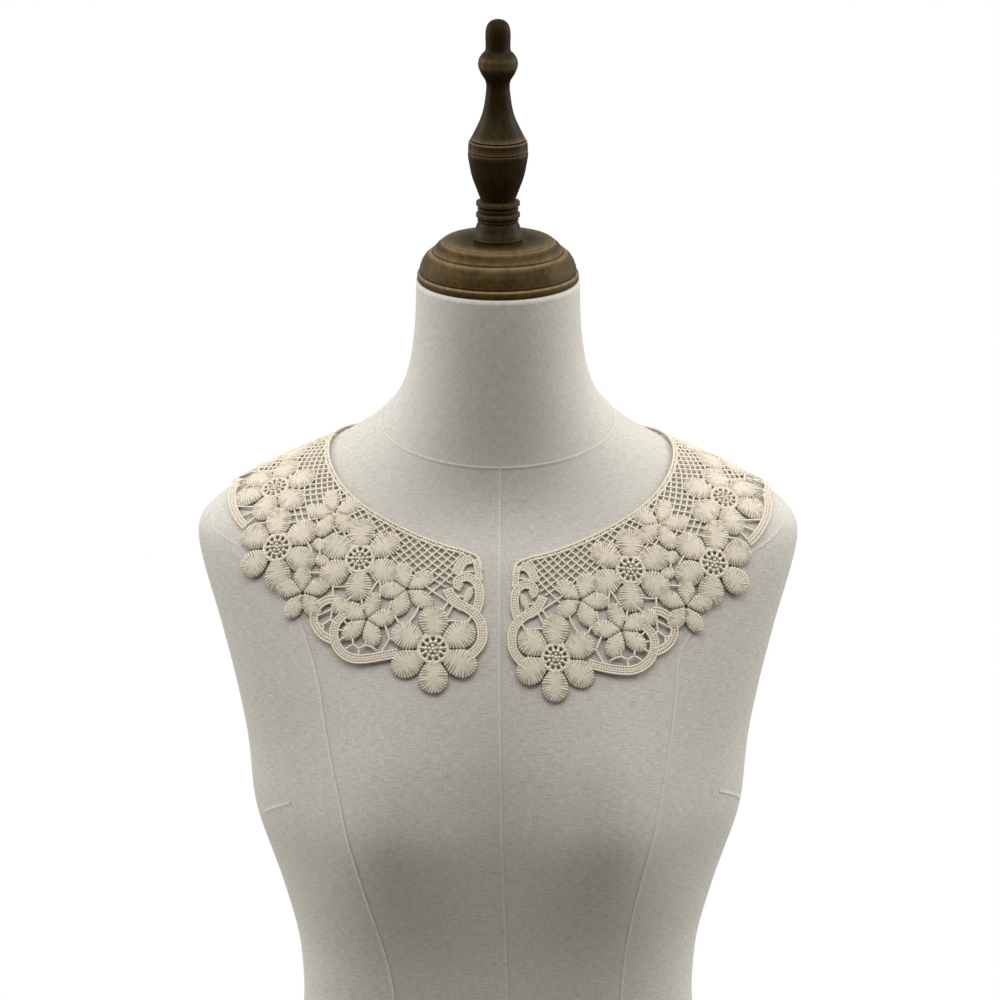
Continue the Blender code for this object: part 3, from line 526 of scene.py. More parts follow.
def threads(mesh, lines, high, radius, sides=6, squash=1.0, tone=0.5, hollow=0.0, twist=1.5):
    """Round threads along flat lines, all of the same number of points."""
    lines = np.asarray(lines, float)
    if lines.ndim == 2:
        lines = lines[None]
    m, n = lines.shape[:2]
    high = np.broadcast_to(high, (m, n))
    radius = np.broadcast_to(radius, (m, n))
    _, right = sides_of(lines)
    run = np.concatenate([np.zeros((m, 1)), np.cumsum(np.linalg.norm(np.diff(lines, axis=1), axis=2), axis=1)], 1)
    angle = 2 * np.pi * np.arange(sides) / sides - np.pi / 2
    across = radius[..., None] * np.cos(angle)
    up = high[..., None] + radius[..., None] * squash * np.sin(angle)
    flat = lines[:, :, None] + right[:, :, None] * across[..., None]
    points = np.concatenate([flat, up[..., None]], -1).reshape(-1, 3)
    base = (np.arange(m) * n * sides)[:, None, None]
    i = np.arange(n - 1)[None, :, None]
    k = np.arange(sides)[None, None, :]
    k1 = (k + 1) % sides
    quads = np.stack(np.broadcast_arrays(base + i * sides + k, base + (i + 1) * sides + k,
                                         base + (i + 1) * sides + k1, base + i * sides + k1), -1).reshape(-1, 4)
    u0, u1 = run[:, :-1, None], run[:, 1:, None]
    v0, v1 = k / sides, (k + 1) / sides
    corner = [np.broadcast_arrays(u / twist + v, u) for u, v in ((u0, v0), (u1, v0), (u1, v1), (u0, v1))]
    quad_uv = np.stack([np.stack(c, -1) for c in corner], -2).reshape(-1, 4, 2)
    ends = np.stack([lines[:, 0], lines[:, -1]], 1)
    way = np.stack([unit(lines[:, 0] - lines[:, 1]), unit(lines[:, -1] - lines[:, -2])], 1)
    tip = ends + way * np.stack([radius[:, 0], radius[:, -1]], 1)[..., None] * 0.5
    heights = np.stack([high[:, 0], high[:, -1]], 1)
    tips = np.concatenate([tip, heights[..., None]], -1).reshape(-1, 3)
    first = len(points) + 2 * np.arange(m)
    ring0 = (np.arange(m) * n * sides)[:, None]
    ring1 = ring0 + (n - 1) * sides
    kk = np.arange(sides)[None]
    kn = (kk + 1) % sides
    start = np.stack(np.broadcast_arrays(first[:, None], ring0 + kk, ring0 + kn), -1)
    end = np.stack(np.broadcast_arrays(first[:, None] + 1, ring1 + kn, ring1 + kk), -1)
    tris = np.concatenate([start.reshape(-1, 3), end.reshape(-1, 3)])
    # Painted shade: the underside of each thread and its end tips are drawn darker.
    low = np.clip(0.5 - 0.9 * np.sin(angle), 0, 1) * 0.3
    shade = np.broadcast_to(low, (m, n, sides)).ravel() + hollow
    shade = np.concatenate([shade, np.full(2 * m, 0.3)])
    mesh.add(np.concatenate([points, tips]), quads, quad_uv, tris, np.zeros((len(tris), 3, 2)), shade, tone)


def knot(mesh, centre, radius, high, squash=0.85, tone=0.5):
    """A small bead of stitches."""
    around, rows = 8, 4
    theta = np.pi * np.arange(1, rows + 1) / (rows + 1)
    phi = 2 * np.pi * np.arange(around) / around
    r = radius * np.sin(theta)[:, None]
    h = high - radius * squash * np.cos(theta)[:, None] + 0 * phi
    x, y = centre[0] + r * np.cos(phi), centre[1] + r * np.sin(phi)
    points = np.stack([x, y, h], -1).reshape(-1, 3)
    ends = [[centre[0], centre[1], high - radius * squash], [centre[0], centre[1], high + radius * squash]]
    points = np.concatenate([points, ends])
    j = np.arange(rows - 1)[:, None]
    k = np.arange(around)[None]
    k1 = (k + 1) % around
    quads = np.stack(np.broadcast_arrays(j * around + k, j * around + k1, (j + 1) * around + k1,
                                         (j + 1) * around + k), -1).reshape(-1, 4)
    uv = np.stack([np.stack(np.broadcast_arrays(a / 2.0, b * 0.8), -1)
                   for a, b in ((k, j), (k + 1, j), (k + 1, j + 1), (k, j + 1))], -2).reshape(-1, 4, 2)
    kk = np.arange(around)
    kn = (kk + 1) % around
    last = (rows - 1) * around
    bottom = np.stack([np.full(around, rows * around), kn, kk], 1)
    top = np.stack([np.full(around, rows * around + 1), last + kk, last + kn], 1)
    tris = np.concatenate([bottom, top])
    # Painted shade: darker towards the bead's underside.
    hollow = np.clip((high - points[:, 2]) / radius * 0.5 + 0.1, 0, 1)
    mesh.add(points, quads, uv, tris, np.zeros((len(tris), 3, 2)), hollow, tone)


def smooth(value, low, high):
    t = np.clip((value - low) / (high - low), 0, 1)
    return t * t * (3 - 2 * t)


def petal_outline(reach, length, width, petals, gap, blunt, count):
    """Egg-shaped outline of a petal round its own middle, clipped to its share of the flower."""
    phi = np.linspace(0, 2 * np.pi, 1441)
    c, s = np.cos(phi), np.sin(phi)
    p = length * np.sign(c) * np.abs(c) ** (2 / blunt)
    q = width * np.sign(s) * np.abs(s) ** (2 / blunt) * (1 + 0.10 * c)
    if petals:
        limit = np.tan(np.pi / petals) * (reach + p) - gap / 2 / np.cos(np.pi / petals)
        q = np.sign(q) * np.minimum(np.abs(q), np.maximum(limit, 0.15))
    run = np.concatenate([[0], np.cumsum(np.hypot(np.diff(p), np.diff(q)))])
    at = np.arange(count) / count * run[-1]
    return np.interp(at, run, p), np.interp(at, run, q)


def petal(mesh, centre, axis, shape, petals, stitches, rng, crown=2.1, relief=0.58, gap=0.8, blunt=2.05):
    """A domed petal of satin stitches that run from its middle line out to its rim."""
    reach, length, width = shape
    count = stitches * 4
    axis = axis + rng.uniform(-2.5, 2.5)
    length, width = length * rng.uniform(0.97, 1.02), width * rng.uniform(0.95, 1.03)
    p, q = petal_outline(reach, length, width, petals, gap, blunt, count)
    bump = np.tile([0.0, 0.82, 1.0, 0.82], stitches)
    uneven = np.repeat(rng.uniform(0.6, 1.2, stitches), 4)
    start = np.repeat(rng.uniform(0.28, 0.68, stitches), 4)
    bump = bump * uneven
    spine = np.where(p > 0, 0.45 * p, 0.8 * p)
    spine = np.clip(spine, -0.58 * length, 0.36 * length)
    shares = np.array([0.0, 0.24, 0.46, 0.66, 0.82, 0.94, 1.0])
    body = (1 - shares ** 2.9) ** 0.66
    rim = 1.05
    crown = crown * rng.uniform(0.92, 1.04)
    rows, heights, painted_shades = [], [], []
    for share, rise in zip(shares, body):
        grown = smooth(share, start - 0.18, start + 0.3)
        out = share * (1 + (bump - 0.75) * 0.06 * smooth(share, 0.6, 1.0))
        rows.append(np.stack([spine + (p - spine) * out, q * out], 1))
        strong = relief * (0.10 + 0.90 * grown) * (1.0 if share < 0.98 else 0.7)
        rough = np.repeat(rng.uniform(-1, 1, 2 * stitches), 2) * (0.0 < share < 0.9)
        heights.append(rim + (crown - rim) * rise + strong * (bump - 0.74) + 0.10 * rough)
        # Painted shade in the grooves between stitches and towards the middle line; the crests are left lighter as a
        # painted highlight, and the jitter paints mottled shade that follows the relief.
        painted_shades.append((1 - np.clip(bump, 0, 1)) * (0.12 + 0.88 * grown) + 0.18 * (1 - share ** 2)
                       - 0.16 * rough)
    rows.append(rows[-1] * 1.0)
    # Painted shade on the rim's foot and on the middle of the underside.
    heights.append(np.full(count, 0.25))
    painted_shades.append(np.full(count, 0.75))
    local = np.concatenate(rows)
    high = np.concatenate(heights)
    hollow = np.concatenate(painted_shades)
    local = np.concatenate([local, [[0.0, 0.0]]])
    high = np.append(high, 0.25)
    hollow = np.append(hollow, 1.0)
    a = math.radians(axis)
    x = (reach + local[:, 0]) * math.cos(a) - local[:, 1] * math.sin(a) + centre[0]
    y = (reach + local[:, 0]) * math.sin(a) + local[:, 1] * math.cos(a) + centre[1]
    rings = len(rows)
    j = np.arange(rings - 1)[:, None]
    i = np.arange(count)[None]
    i1 = (i + 1) % count
    quads = np.stack(np.broadcast_arrays(j * count + i, (j + 1) * count + i, (j + 1) * count + i1,
                                         j * count + i1), -1).reshape(-1, 4)
    far = np.append(shares, 1.1) * width
    f0, f1 = far[:-1][:, None], far[1:][:, None]
    turns = 3.0 / 4.0
    uv = np.stack([np.stack(np.broadcast_arrays(a_ * turns, b_), -1)
                   for a_, b_ in ((i, f0), (i, f1), (i + 1, f1), (i + 1, f0))], -2).reshape(-1, 4, 2)
    last = (rings - 1) * count
    ii = np.arange(count)
    tris = np.stack([np.full(count, len(local) - 1), last + (ii + 1) % count, last + ii], 1)
    tone = rng.uniform(0.25, 0.75)
    outer = np.stack([x, y], 1)[(len(shares) - 1) * count:len(shares) * count]
    half = count // 2
    places = np.arange(len(x))
    places[half + 1:count] = count - places[half + 1:count]
    places[count:] -= half - 1
    kept = np.r_[0:half + 1, count:len(x)]
    mesh.add(np.stack([x, y, high], 1)[kept], places[quads], uv, places[tris], np.zeros((count, 3, 2)),
             hollow[kept], tone)
    return outer


def eyelet(mesh, centre, turn, rng):
    """The open middle of a big flower: beaded spokes round a cluster of knots."""
    spokes = 11
    angles = np.radians(turn) + 2 * np.pi * (np.arange(spokes) + 0.5) / spokes
    closed = np.linspace(0, 2 * np.pi, 45)
    ring = np.stack([np.cos(closed), np.sin(closed)], 1)
    threads(mesh, centre + 8.6 * ring, 0.95, 1.2, squash=0.7, tone=0.5)
    far = np.array([4.0, 5.0, 5.8, 6.5, 7.3, 8.3])
    lines = centre + far[None, :, None] * np.stack([np.cos(angles), np.sin(angles)], 1)[:, None]
    threads(mesh, lines, 0.95, np.array([1.05, 0.95, 0.84, 0.82, 0.98, 1.35]), squash=0.8, sides=7, tone=0.5)
    for angle in angles:
        spot = centre + (4.6 + rng.uniform(-0.15, 0.15)) * np.array([math.cos(angle), math.sin(angle)])
        knot(mesh, spot, 1.22 + rng.uniform(-0.06, 0.1), 1.2, 0.95, rng.uniform(0.45, 0.9))
    for k in range(5):
        angle = math.radians(turn) + 2 * math.pi * k / 5 + rng.uniform(-0.1, 0.1)
        knot(mesh, centre + 2.2 * np.array([math.cos(angle), math.sin(angle)]), 1.12, 1.3, 0.95,
             rng.uniform(0.45, 0.9))
    knot(mesh, centre, 1.15, 1.45, 0.95, 0.7)


def ribbon(mesh, line, right, half):
    """The thin dense ground of a tape, a closed flat strip."""
    n = len(line)
    corners_of = ((-half, 0.35), (half, 0.35), (half, 1.05), (-half, 1.05))
    points = np.stack([np.concatenate([line + right * a, np.full((n, 1), h)], 1) for a, h in corners_of], 1)
    i = np.arange(n - 1)[:, None]
    k = np.arange(4)[None]
    k1 = (k + 1) % 4
    quads = np.stack(np.broadcast_arrays(i * 4 + k, (i + 1) * 4 + k, (i + 1) * 4 + k1, i * 4 + k1), -1).reshape(-1, 4)
    last = 4 * (n - 1)
    quads = np.concatenate([quads, [[0, 1, 2, 3], [last + 3, last + 2, last + 1, last]]])
    # Painted shade: the strip under the cords is drawn darker than the cords.
    mesh.add(points.reshape(-1, 3), quads, np.zeros((len(quads), 4, 2)), hollow=0.36, tone=0.4)


def band(mesh, line, width, cords, high=0.95, rung_pitch=1.7):
    """A tape of parallel cords held by short rungs."""
    _, right = sides_of(line)
    ribbon(mesh, line, right, width / 2 - 0.8)
    reach = width - 1.35
    for k in range(cords):
        offset = (k / (cords - 1) - 0.5) * reach
        outer = k in (0, cords - 1)
        threads(mesh, line + right * offset, high + (0.12 if outer else 0.02), 0.66 if outer else 0.5,
                tone=0.65 if outer else 0.45)
    run = np.concatenate([[0], np.cumsum(np.linalg.norm(np.diff(line, axis=0), axis=1))])
    at = np.arange(rung_pitch / 2, run[-1], rung_pitch)
    middle = np.stack([np.interp(at, run, line[:, k]) for k in range(2)], 1)
    aside = unit(np.stack([np.interp(at, run, right[:, k]) for k in range(2)], 1))
    span = np.linspace(-0.5, 0.5, 3) * (width - 1.4)
    lines = middle[:, None] + aside[:, None] * span[None, :, None]
    threads(mesh, lines, high - 0.02, 0.60, sides=5, tone=0.45)


class Field:
    """A fine map of where the flat pattern is already filled."""

    def __init__(self, low, high, step=0.4):
        self.low, self.step = np.array(low, float), step
        self.size = np.ceil((np.array(high) - self.low) / step).astype(int)
        self.full = np.zeros(self.size, bool)

    def window(self, low, high):
        a = np.clip(np.floor((low - self.low) / self.step).astype(int), 0, self.size - 1)
        b = np.clip(np.ceil((high - self.low) / self.step).astype(int) + 1, 1, self.size)
        x, y = np.meshgrid(self.low[0] + self.step * np.arange(a[0], b[0]),
                           self.low[1] + self.step * np.arange(a[1], b[1]), indexing="ij")
        return (slice(a[0], b[0]), slice(a[1], b[1])), np.stack([x.ravel(), y.ravel()], 1), x.shape

    def stamp_shape(self, outline):
        part, spots, shape = self.window(outline.min(0), outline.max(0))
        self.full[part] |= inside(spots, outline).reshape(shape)

    def stamp_line(self, line, half):
        for piece in np.array_split(line, max(1, len(line) // 12)):
            part, spots, shape = self.window(piece.min(0) - half, piece.max(0) + half)
            near = np.min(((spots[:, None] - piece[None]) ** 2).sum(-1), axis=1) < half * half
            self.full[part] |= near.reshape(shape)

    def at(self, spots):
        i = np.clip(np.round((spots - self.low) / self.step).astype(int), 0, self.size - 1)
        return self.full[i[:, 0], i[:, 1]]


def outline_of(ground):
    """The flat half's outline: outer edge, middle of the back and neckline."""
    last = tuple(ground.flat(ground.half - SEAM_GAP / 2, BACK_DEPTH))
    rows = list(EDGE) + [last + (0.0, False)]
    edges = [arc(a[:2], b[:2], a[2]) for a, b in zip(rows, rows[1:])]
    back = ground.flat(ground.half - SEAM_GAP / 2, np.linspace(BACK_DEPTH, 0, 20))
    neck = ground.flat(np.linspace(ground.half - SEAM_GAP / 2, 12.0, 160), np.zeros(160))
    return edges, np.concatenate(edges + [back, neck])


def net_lines(ground, field, border):
    """The two crossing sets of net threads, each let run on to the next motif."""
    corner = np.array(CORNER)
    reach_at = np.array(NET_REACH)
    found = []
    for lean, first, last, pitch in ((math.tan(math.radians(25)), 2.0, 384.0, NET_PITCH[0]),
                                     (-math.tan(math.radians(66)), 12.0, 470.0, NET_PITCH[1])):
        pitch = pitch * math.hypot(1, lean)
        for start in np.arange(first, last, pitch):
            out = np.arange(1.3, 62, 0.45 if lean > 0 else 0.22)
            along = start + out * lean
            keep = (along > 12) & (along < ground.half - 1.2)
            out, along = out[keep], along[keep]
            if len(out) < 4:
                continue
            line = ground.flat(along, out)
            free = inside(line, border) & ~inside(line, corner)
            solid = field.at(line)
            deepest = np.interp(along, reach_at[:, 0], reach_at[:, 1])
            pieces, current = [], []
            for k in range(len(line)):
                if out[k] <= deepest[k]:
                    good = free[k]
                else:
                    good = free[k] and bool(current)
                if good:
                    current.append(k)
                    if out[k] > deepest[k] and solid[k]:
                        deep = [c for c in current[-4:] if solid[c]]
                        if len(deep) >= 3:
                            pieces.append(current)
                            current = []
                            break
                else:
                    if current:
                        pieces.append(current)
                    current = []
                    if out[k] > deepest[k]:
                        break
            if current:
                pieces.append(current)
            for piece in pieces:
                line_part = line[piece]
                covered = solid[piece]
                runs, run = [], []
                for k in range(len(piece)):
                    deep = covered[max(0, k - 3):k + 4].all()
                    if deep:
                        if len(run) > 5:
                            runs.append(run)
                        run = []
                    else:
                        run.append(k)
                if len(run) > 5:
                    runs.append(run)
                for run in runs:
                    if np.linalg.norm(line_part[run[-1]] - line_part[run[0]]) > 1.6:
                        found.append((line_part[run], lean > 0))
    return found


def anchors(outline, pitch):
    """Points along a closed outline with their outward directions."""
    loop = evenly(np.concatenate([outline, outline[:1]]), pitch)[:-1]
    way = unit(np.roll(loop, -1, axis=0) - np.roll(loop, 1, axis=0))
    return loop, np.stack([way[:, 1], -way[:, 0]], 1)


def bar_lines(filled, border, starts, placed):
    """Short bars that bridge the gaps between motifs, each as far as the next thing it meets."""
    bars = []
    middles = [spot for line in placed for spot in evenly(line, 3.0)]
    for loop, aside in starts:
        for spot, way in zip(loop, aside):
            reach = np.arange(0.9, 13.5, 0.3)
            ray = spot + reach[:, None] * way
            if filled.at(ray[:1])[0] or not inside(ray[:1], border)[0]:
                continue
            hits = filled.at(ray)
            within = inside(ray, border)
            stop = int(np.argmax(hits)) if hits.any() else -1
            if stop < 0 or reach[stop] < 2.4 or not within[:stop].all():
                continue
            middle = spot + way * reach[stop] / 2
            if np.min(np.hypot(*(np.array(middles) - middle).T)) < 4.6:
                continue
            end = spot + way * (reach[stop] + 0.8)
            line = evenly(np.array([spot - way * 0.8, end]), 1.4)
            bars.append(line)
            middles.append(middle)
            filled.stamp_line(evenly(line, 0.5), 0.55)
    return bars


def make_half(ground):
    """The stitches of one flat half of the collar."""
    rng = np.random.default_rng(7)
    mesh, small = Mesh(), Mesh()
    edges, border = outline_of(ground)
    low, high = border.min(0) - 12, border.max(0) + 12
    motifs = Field(low, high)
    starts = []
    for across, up, petals, turn, reach, length, width in FLOWERS:
        centre = np.array([across, up])
        big = petals > 5
        for k in range(petals):
            axis = turn + 360 / petals * k
            if big:
                outline = petal(mesh, centre, axis, (reach, length, width), petals, 30, rng)
            else:
                outline = petal(mesh, centre, axis + rng.uniform(-4, 4), (reach, length, width), petals, 22,
                                rng, crown=2.0, relief=0.3, gap=0.3, blunt=1.85)
            motifs.stamp_shape(outline)
            starts.append(anchors(outline, 5.3))
        if big:
            eyelet(small, centre, turn, rng)
            ring = centre + 8.5 * np.stack([np.cos(np.linspace(0, 6.3, 40)), np.sin(np.linspace(0, 6.3, 40))], 1)
            motifs.stamp_shape(ring)
    for across, up, turn, length, width, stitches in LEAVES:
        outline = petal(mesh, np.array([across, up]), turn, (0.0, length, width), 0, stitches, rng, crown=1.9,
                        relief=0.2)
        motifs.stamp_shape(outline)
        starts.append(anchors(outline, 4.2))
    tapes = [(width, cords, spline(points)) for width, cords, points in TAPES]
    scallops = [line for line, row in zip(edges[FIRST_PLAIN_SCALLOP:], EDGE[FIRST_PLAIN_SCALLOP:]) if row[3]]
    tapes += [(TAPE_WIDTH, 3, line) for line in scallops]
    for width, cords, line in tapes:
        band(mesh, line, width, cords)
        motifs.stamp_line(evenly(line, 0.6), width / 2)
        _, right = sides_of(line)
        every = max(1, int(round(5.2 / 1.3)))
        for sign in (1, -1):
            starts.append(((line + sign * right * width / 2)[2:-2:every], (sign * right)[2:-2:every]))
    neck_at = np.linspace(ground.half - 0.6, 22.0, 77)
    turned = np.array([(17.2, -0.3), (14.0, -1.6), (11.7, -4.0), (10.5, -7.6), (10.0, -12.0)])
    outer = np.concatenate([ground.flat(neck_at, np.full(77, 0.75)), turned])
    inner_end = np.array([(18.2, -2.6), (15.6, -3.8), (14.0, -6.0), (13.4, -9.0)])
    inner = np.concatenate([ground.flat(neck_at, np.full(77, 2.9)), inner_end])
    for line, radius in ((outer, 0.78), (inner, 0.66)):
        threads(mesh, spline(line), 1.0, radius, tone=0.6)
    rung_at = np.arange(19.0, ground.half - 1, 1.9)
    rungs = np.stack([ground.flat(rung_at, np.full(len(rung_at), d)) for d in (0.75, 1.85, 2.9)], 1)
    # Painted shade: these rungs are drawn a little darker.
    threads(mesh, rungs, 0.85, 0.48, sides=5, tone=0.35, hollow=0.1)
    seam = ground.flat(np.full(40, ground.half - 1.1), np.linspace(1.0, BACK_DEPTH - 0.5, 40))
    seam_inner = ground.flat(np.full(40, ground.half - 3.0), np.linspace(1.0, BACK_DEPTH - 0.5, 40))
    threads(mesh, seam, 1.0, 0.78, tone=0.6)
    threads(mesh, seam_inner, 0.95, 0.66, tone=0.5)
    down = np.arange(2.0, BACK_DEPTH - 1, 1.9)
    cross = np.stack([ground.flat(np.full(len(down), ground.half - d), down) for d in (1.1, 2.0, 3.0)], 1)
    # Painted shade: these rungs are drawn a little darker.
    threads(mesh, cross, 0.85, 0.48, sides=5, tone=0.35, hollow=0.1)
    motifs.stamp_line(evenly(seam, 0.6), 1.6)
    for line, steep in net_lines(ground, motifs, border):
        line = evenly(line, 1.5)
        if len(line) < 3:
            line = evenly(line, 0.8)
        weave = 0.12 if steep else -0.12
        threads(mesh, line, 0.78 + weave, 0.69, sides=5, squash=0.85, tone=0.55)
    x, y = np.meshgrid(np.arange(motifs.size[0]), np.arange(motifs.size[1]), indexing="ij")
    spots = motifs.low + motifs.step * np.stack([x.ravel(), y.ravel()], 1)
    depth, along = ground.depth(spots)
    filled = Field(low, high)
    reach_at = np.array(NET_REACH)
    net_here = (depth < np.interp(along, reach_at[:, 0], reach_at[:, 1])) & ~inside(spots, np.array(CORNER))
    filled.full = motifs.full | net_here.reshape(motifs.full.shape)
    placed = [spline(points, 1.4) for points in BARS]
    for line in placed:
        filled.stamp_line(evenly(line, 0.5), 0.6)
    for line in placed + bar_lines(filled, border, starts, placed):
        if len(line) < 3:
            line = evenly(line, 0.7)
        threads(mesh, line, 0.9 + rng.uniform(-0.1, 0.15), 0.7, tone=rng.uniform(0.4, 0.7))
    return mesh, small


def place_half(name, stitches, ground, side, paint):
    local = np.concatenate(stitches.points)
    points = ground.lay(local[:, :2], side, local[:, 2])
    return stitches.build(name, points, side < 0, paint)


def surface_frame(turn, height):
    spot = form_point(turn, height)
    normal = unit(np.cross(*form_slopes(turn, height)))
    return spot, normal


def make_form(paint):
    """The linen-covered bust as one smooth closed body."""
    around = 208
    heights = np.unique(np.concatenate([np.linspace(0, 0.46, 92), np.linspace(0.46, 0.60, 96),
                                        np.linspace(0.60, 0.6845, 30)]))
    phase = 2 * math.pi * np.arange(around) / around + math.pi / 2
    mesh = Mesh()
    points, uv = [], []
    for height in heights:
        _, _, wide, front, back, square = (float(np.interp(height, HEIGHTS, c)) for c in COLUMNS)
        c, s = np.cos(phase), np.sin(phase)
        x = wide * np.sign(c) * np.abs(c) ** (2 / square)
        y = np.where(s < 0, front, back) * np.sign(s) * np.abs(s) ** (2 / square)
        points.append(form_point(np.arctan2(y, x), height))
    points = np.array(points)
    loop = np.concatenate([points, points[:, :1]], 1)
    around_run = np.concatenate([np.zeros((len(heights), 1)),
                                 np.cumsum(np.linalg.norm(np.diff(loop, axis=1), axis=2), axis=1)], 1)
    around_run -= around_run[:, around // 2:around // 2 + 1]
    up_run = np.concatenate([np.zeros((1, around + 1)),
                             np.cumsum(np.linalg.norm(np.diff(loop, axis=0), axis=2), axis=0)])
    j = np.arange(len(heights) - 1)[:, None]
    i = np.arange(around)[None]
    i1 = (i + 1) % around
    quads = np.stack(np.broadcast_arrays(j * around + i, j * around + i1, (j + 1) * around + i1,
                                         (j + 1) * around + i), -1).reshape(-1, 4)
    grid = np.stack([around_run, up_run], -1)
    quad_uv = np.stack([grid[:-1, :-1], grid[:-1, 1:], grid[1:, 1:], grid[1:, :-1]], -2).reshape(-1, 4, 2)
    flat = points.reshape(-1, 3)
    middle = np.array([flat[:around].mean(0), flat[-around:].mean(0)])
    k = np.arange(around)
    kn = (k + 1) % around
    last = (len(heights) - 1) * around
    tris = np.concatenate([np.stack([np.full(around, len(flat)), kn, k], 1),
                           np.stack([np.full(around, len(flat) + 1), last + k, last + kn], 1)])
    tri_uv = np.zeros((len(tris), 3, 2))
    everything = np.concatenate([flat, middle])
    mesh.add(everything, quads, quad_uv, tris, tri_uv, 0.0, 0.5)
    return mesh.build("form_linen", everything, False, paint)


def seam_path(points, spacing=0.003):
    """A smooth line of ring angles and heights, evenly spaced on the form."""
    line = spline([(a * 0.004, h) for a, h in points], 0.004)
    turn, height = np.radians(line[:, 0] / 0.004), line[:, 1]
    spot = form_point(turn, height)
    run = np.concatenate([[0], np.cumsum(np.linalg.norm(np.diff(spot, axis=0), axis=1))])
    at = np.linspace(0, run[-1], max(3, int(run[-1] / spacing)))
    return np.interp(at, run, turn), np.interp(at, run, height)


def add_seam(mesh, turn, height, closed=False):
    """Two folded linen edges meeting in a groove, standing a hair above the cover, with painted shade in the groove
    and painted highlight on the folds.
    """
    spot, normal = surface_frame(turn, height)
    way = unit(np.gradient(spot, axis=0)) if not closed else unit(np.roll(spot, -1, 0) - np.roll(spot, 1, 0))
    aside = unit(np.cross(normal, way))
    offsets = np.array([-2.8, -1.6, -0.75, -0.25, 0.0, 0.3, 0.9, 2.2]) * MM
    rises = np.array([-0.05, 0.14, 0.38, 0.44, 0.26, 0.08, 0.10, -0.05]) * MM
    points = spot[:, None] + aside[:, None] * offsets[None, :, None] + normal[:, None] * rises[None, :, None]
    n, m = points.shape[:2]
    run = np.concatenate([[0], np.cumsum(np.linalg.norm(np.diff(spot, axis=0), axis=1))])
    i = np.arange(n - 1)[:, None]
    k = np.arange(m - 1)[None]
    quads = np.stack(np.broadcast_arrays(i * m + k, i * m + k + 1, (i + 1) * m + k + 1, (i + 1) * m + k), -1)
    if closed:
        final = np.stack([(n - 1) * m + k[0], (n - 1) * m + k[0] + 1, k[0] + 1, k[0]], -1)
        quads = np.concatenate([quads.reshape(-1, 4), final])
        run = np.append(run, run[-1] + np.linalg.norm(spot[0] - spot[-1]))
        grid = np.stack(np.broadcast_arrays(offsets[None], run[:, None]), -1)
    else:
        quads = quads.reshape(-1, 4)
        grid = np.stack(np.broadcast_arrays(offsets[None], run[:, None]), -1)
    uv = np.stack([grid[:-1, :-1], grid[:-1, 1:], grid[1:, 1:], grid[1:, :-1]], -2).reshape(-1, 4, 2)
    flat = points.reshape(-1, 3)
    # Painted shade in the groove and painted highlight on the fold crests.
    hollow = np.tile([0.0, -0.1, -0.5, -0.5, 0.1, 0.6, 0.1, 0.0], n)
    mesh.add(flat, quads[:, ::-1], uv[:, ::-1], hollow=hollow)


def make_seams(paint):
    mesh = Mesh()
    for points in SEAMS:
        add_seam(mesh, *seam_path(points))
    turn = np.radians(np.linspace(-180, 180, 181))[:-1]
    add_seam(mesh, turn, np.full(len(turn), NECK_SEAM_HEIGHT), closed=True)
    return mesh.build("form_seams", np.concatenate(mesh.points), False, paint)


def neck_axis():
    row = SECTIONS[-1]
    lean = math.radians(row[2])
    middle = np.array([0.0, row[1] + STAND_SHIFT, row[0]])
    axis = np.array([0.0, -math.sin(lean), math.cos(lean)])
    return middle, axis, np.array([1.0, 0.0, 0.0]), np.array([0.0, math.cos(lean), math.sin(lean)])


def profile(rings, sharp, spacing=0.9):
    """Radius, height and wear, with its painted highlight, along a turned outline: smooth but for its sharp rings."""
    rows = np.array(rings)
    made = [rows[0]]
    for k in range(len(rows) - 1):
        a, b = rows[k], rows[k + 1]
        before = rows[k - 1] if k > 0 and k not in sharp else 2 * a - b
        after = rows[k + 2] if k + 2 < len(rows) and (k + 1) not in sharp else 2 * b - a
        count = max(2, int(round(np.hypot(b[0] - a[0], b[1] - a[1]) / spacing)))
        for t in np.arange(1, count + 1) / count:
            spot = 0.5 * (2 * a + (b - before) * t + (2 * before - 5 * a + 4 * b - after) * t * t
                          + (3 * a - before - 3 * b + after) * t ** 3)
            spot[2] = a[2] * (1 - t) ** 2 + b[2] * t ** 2
            made.append(spot)
    return np.array(made)


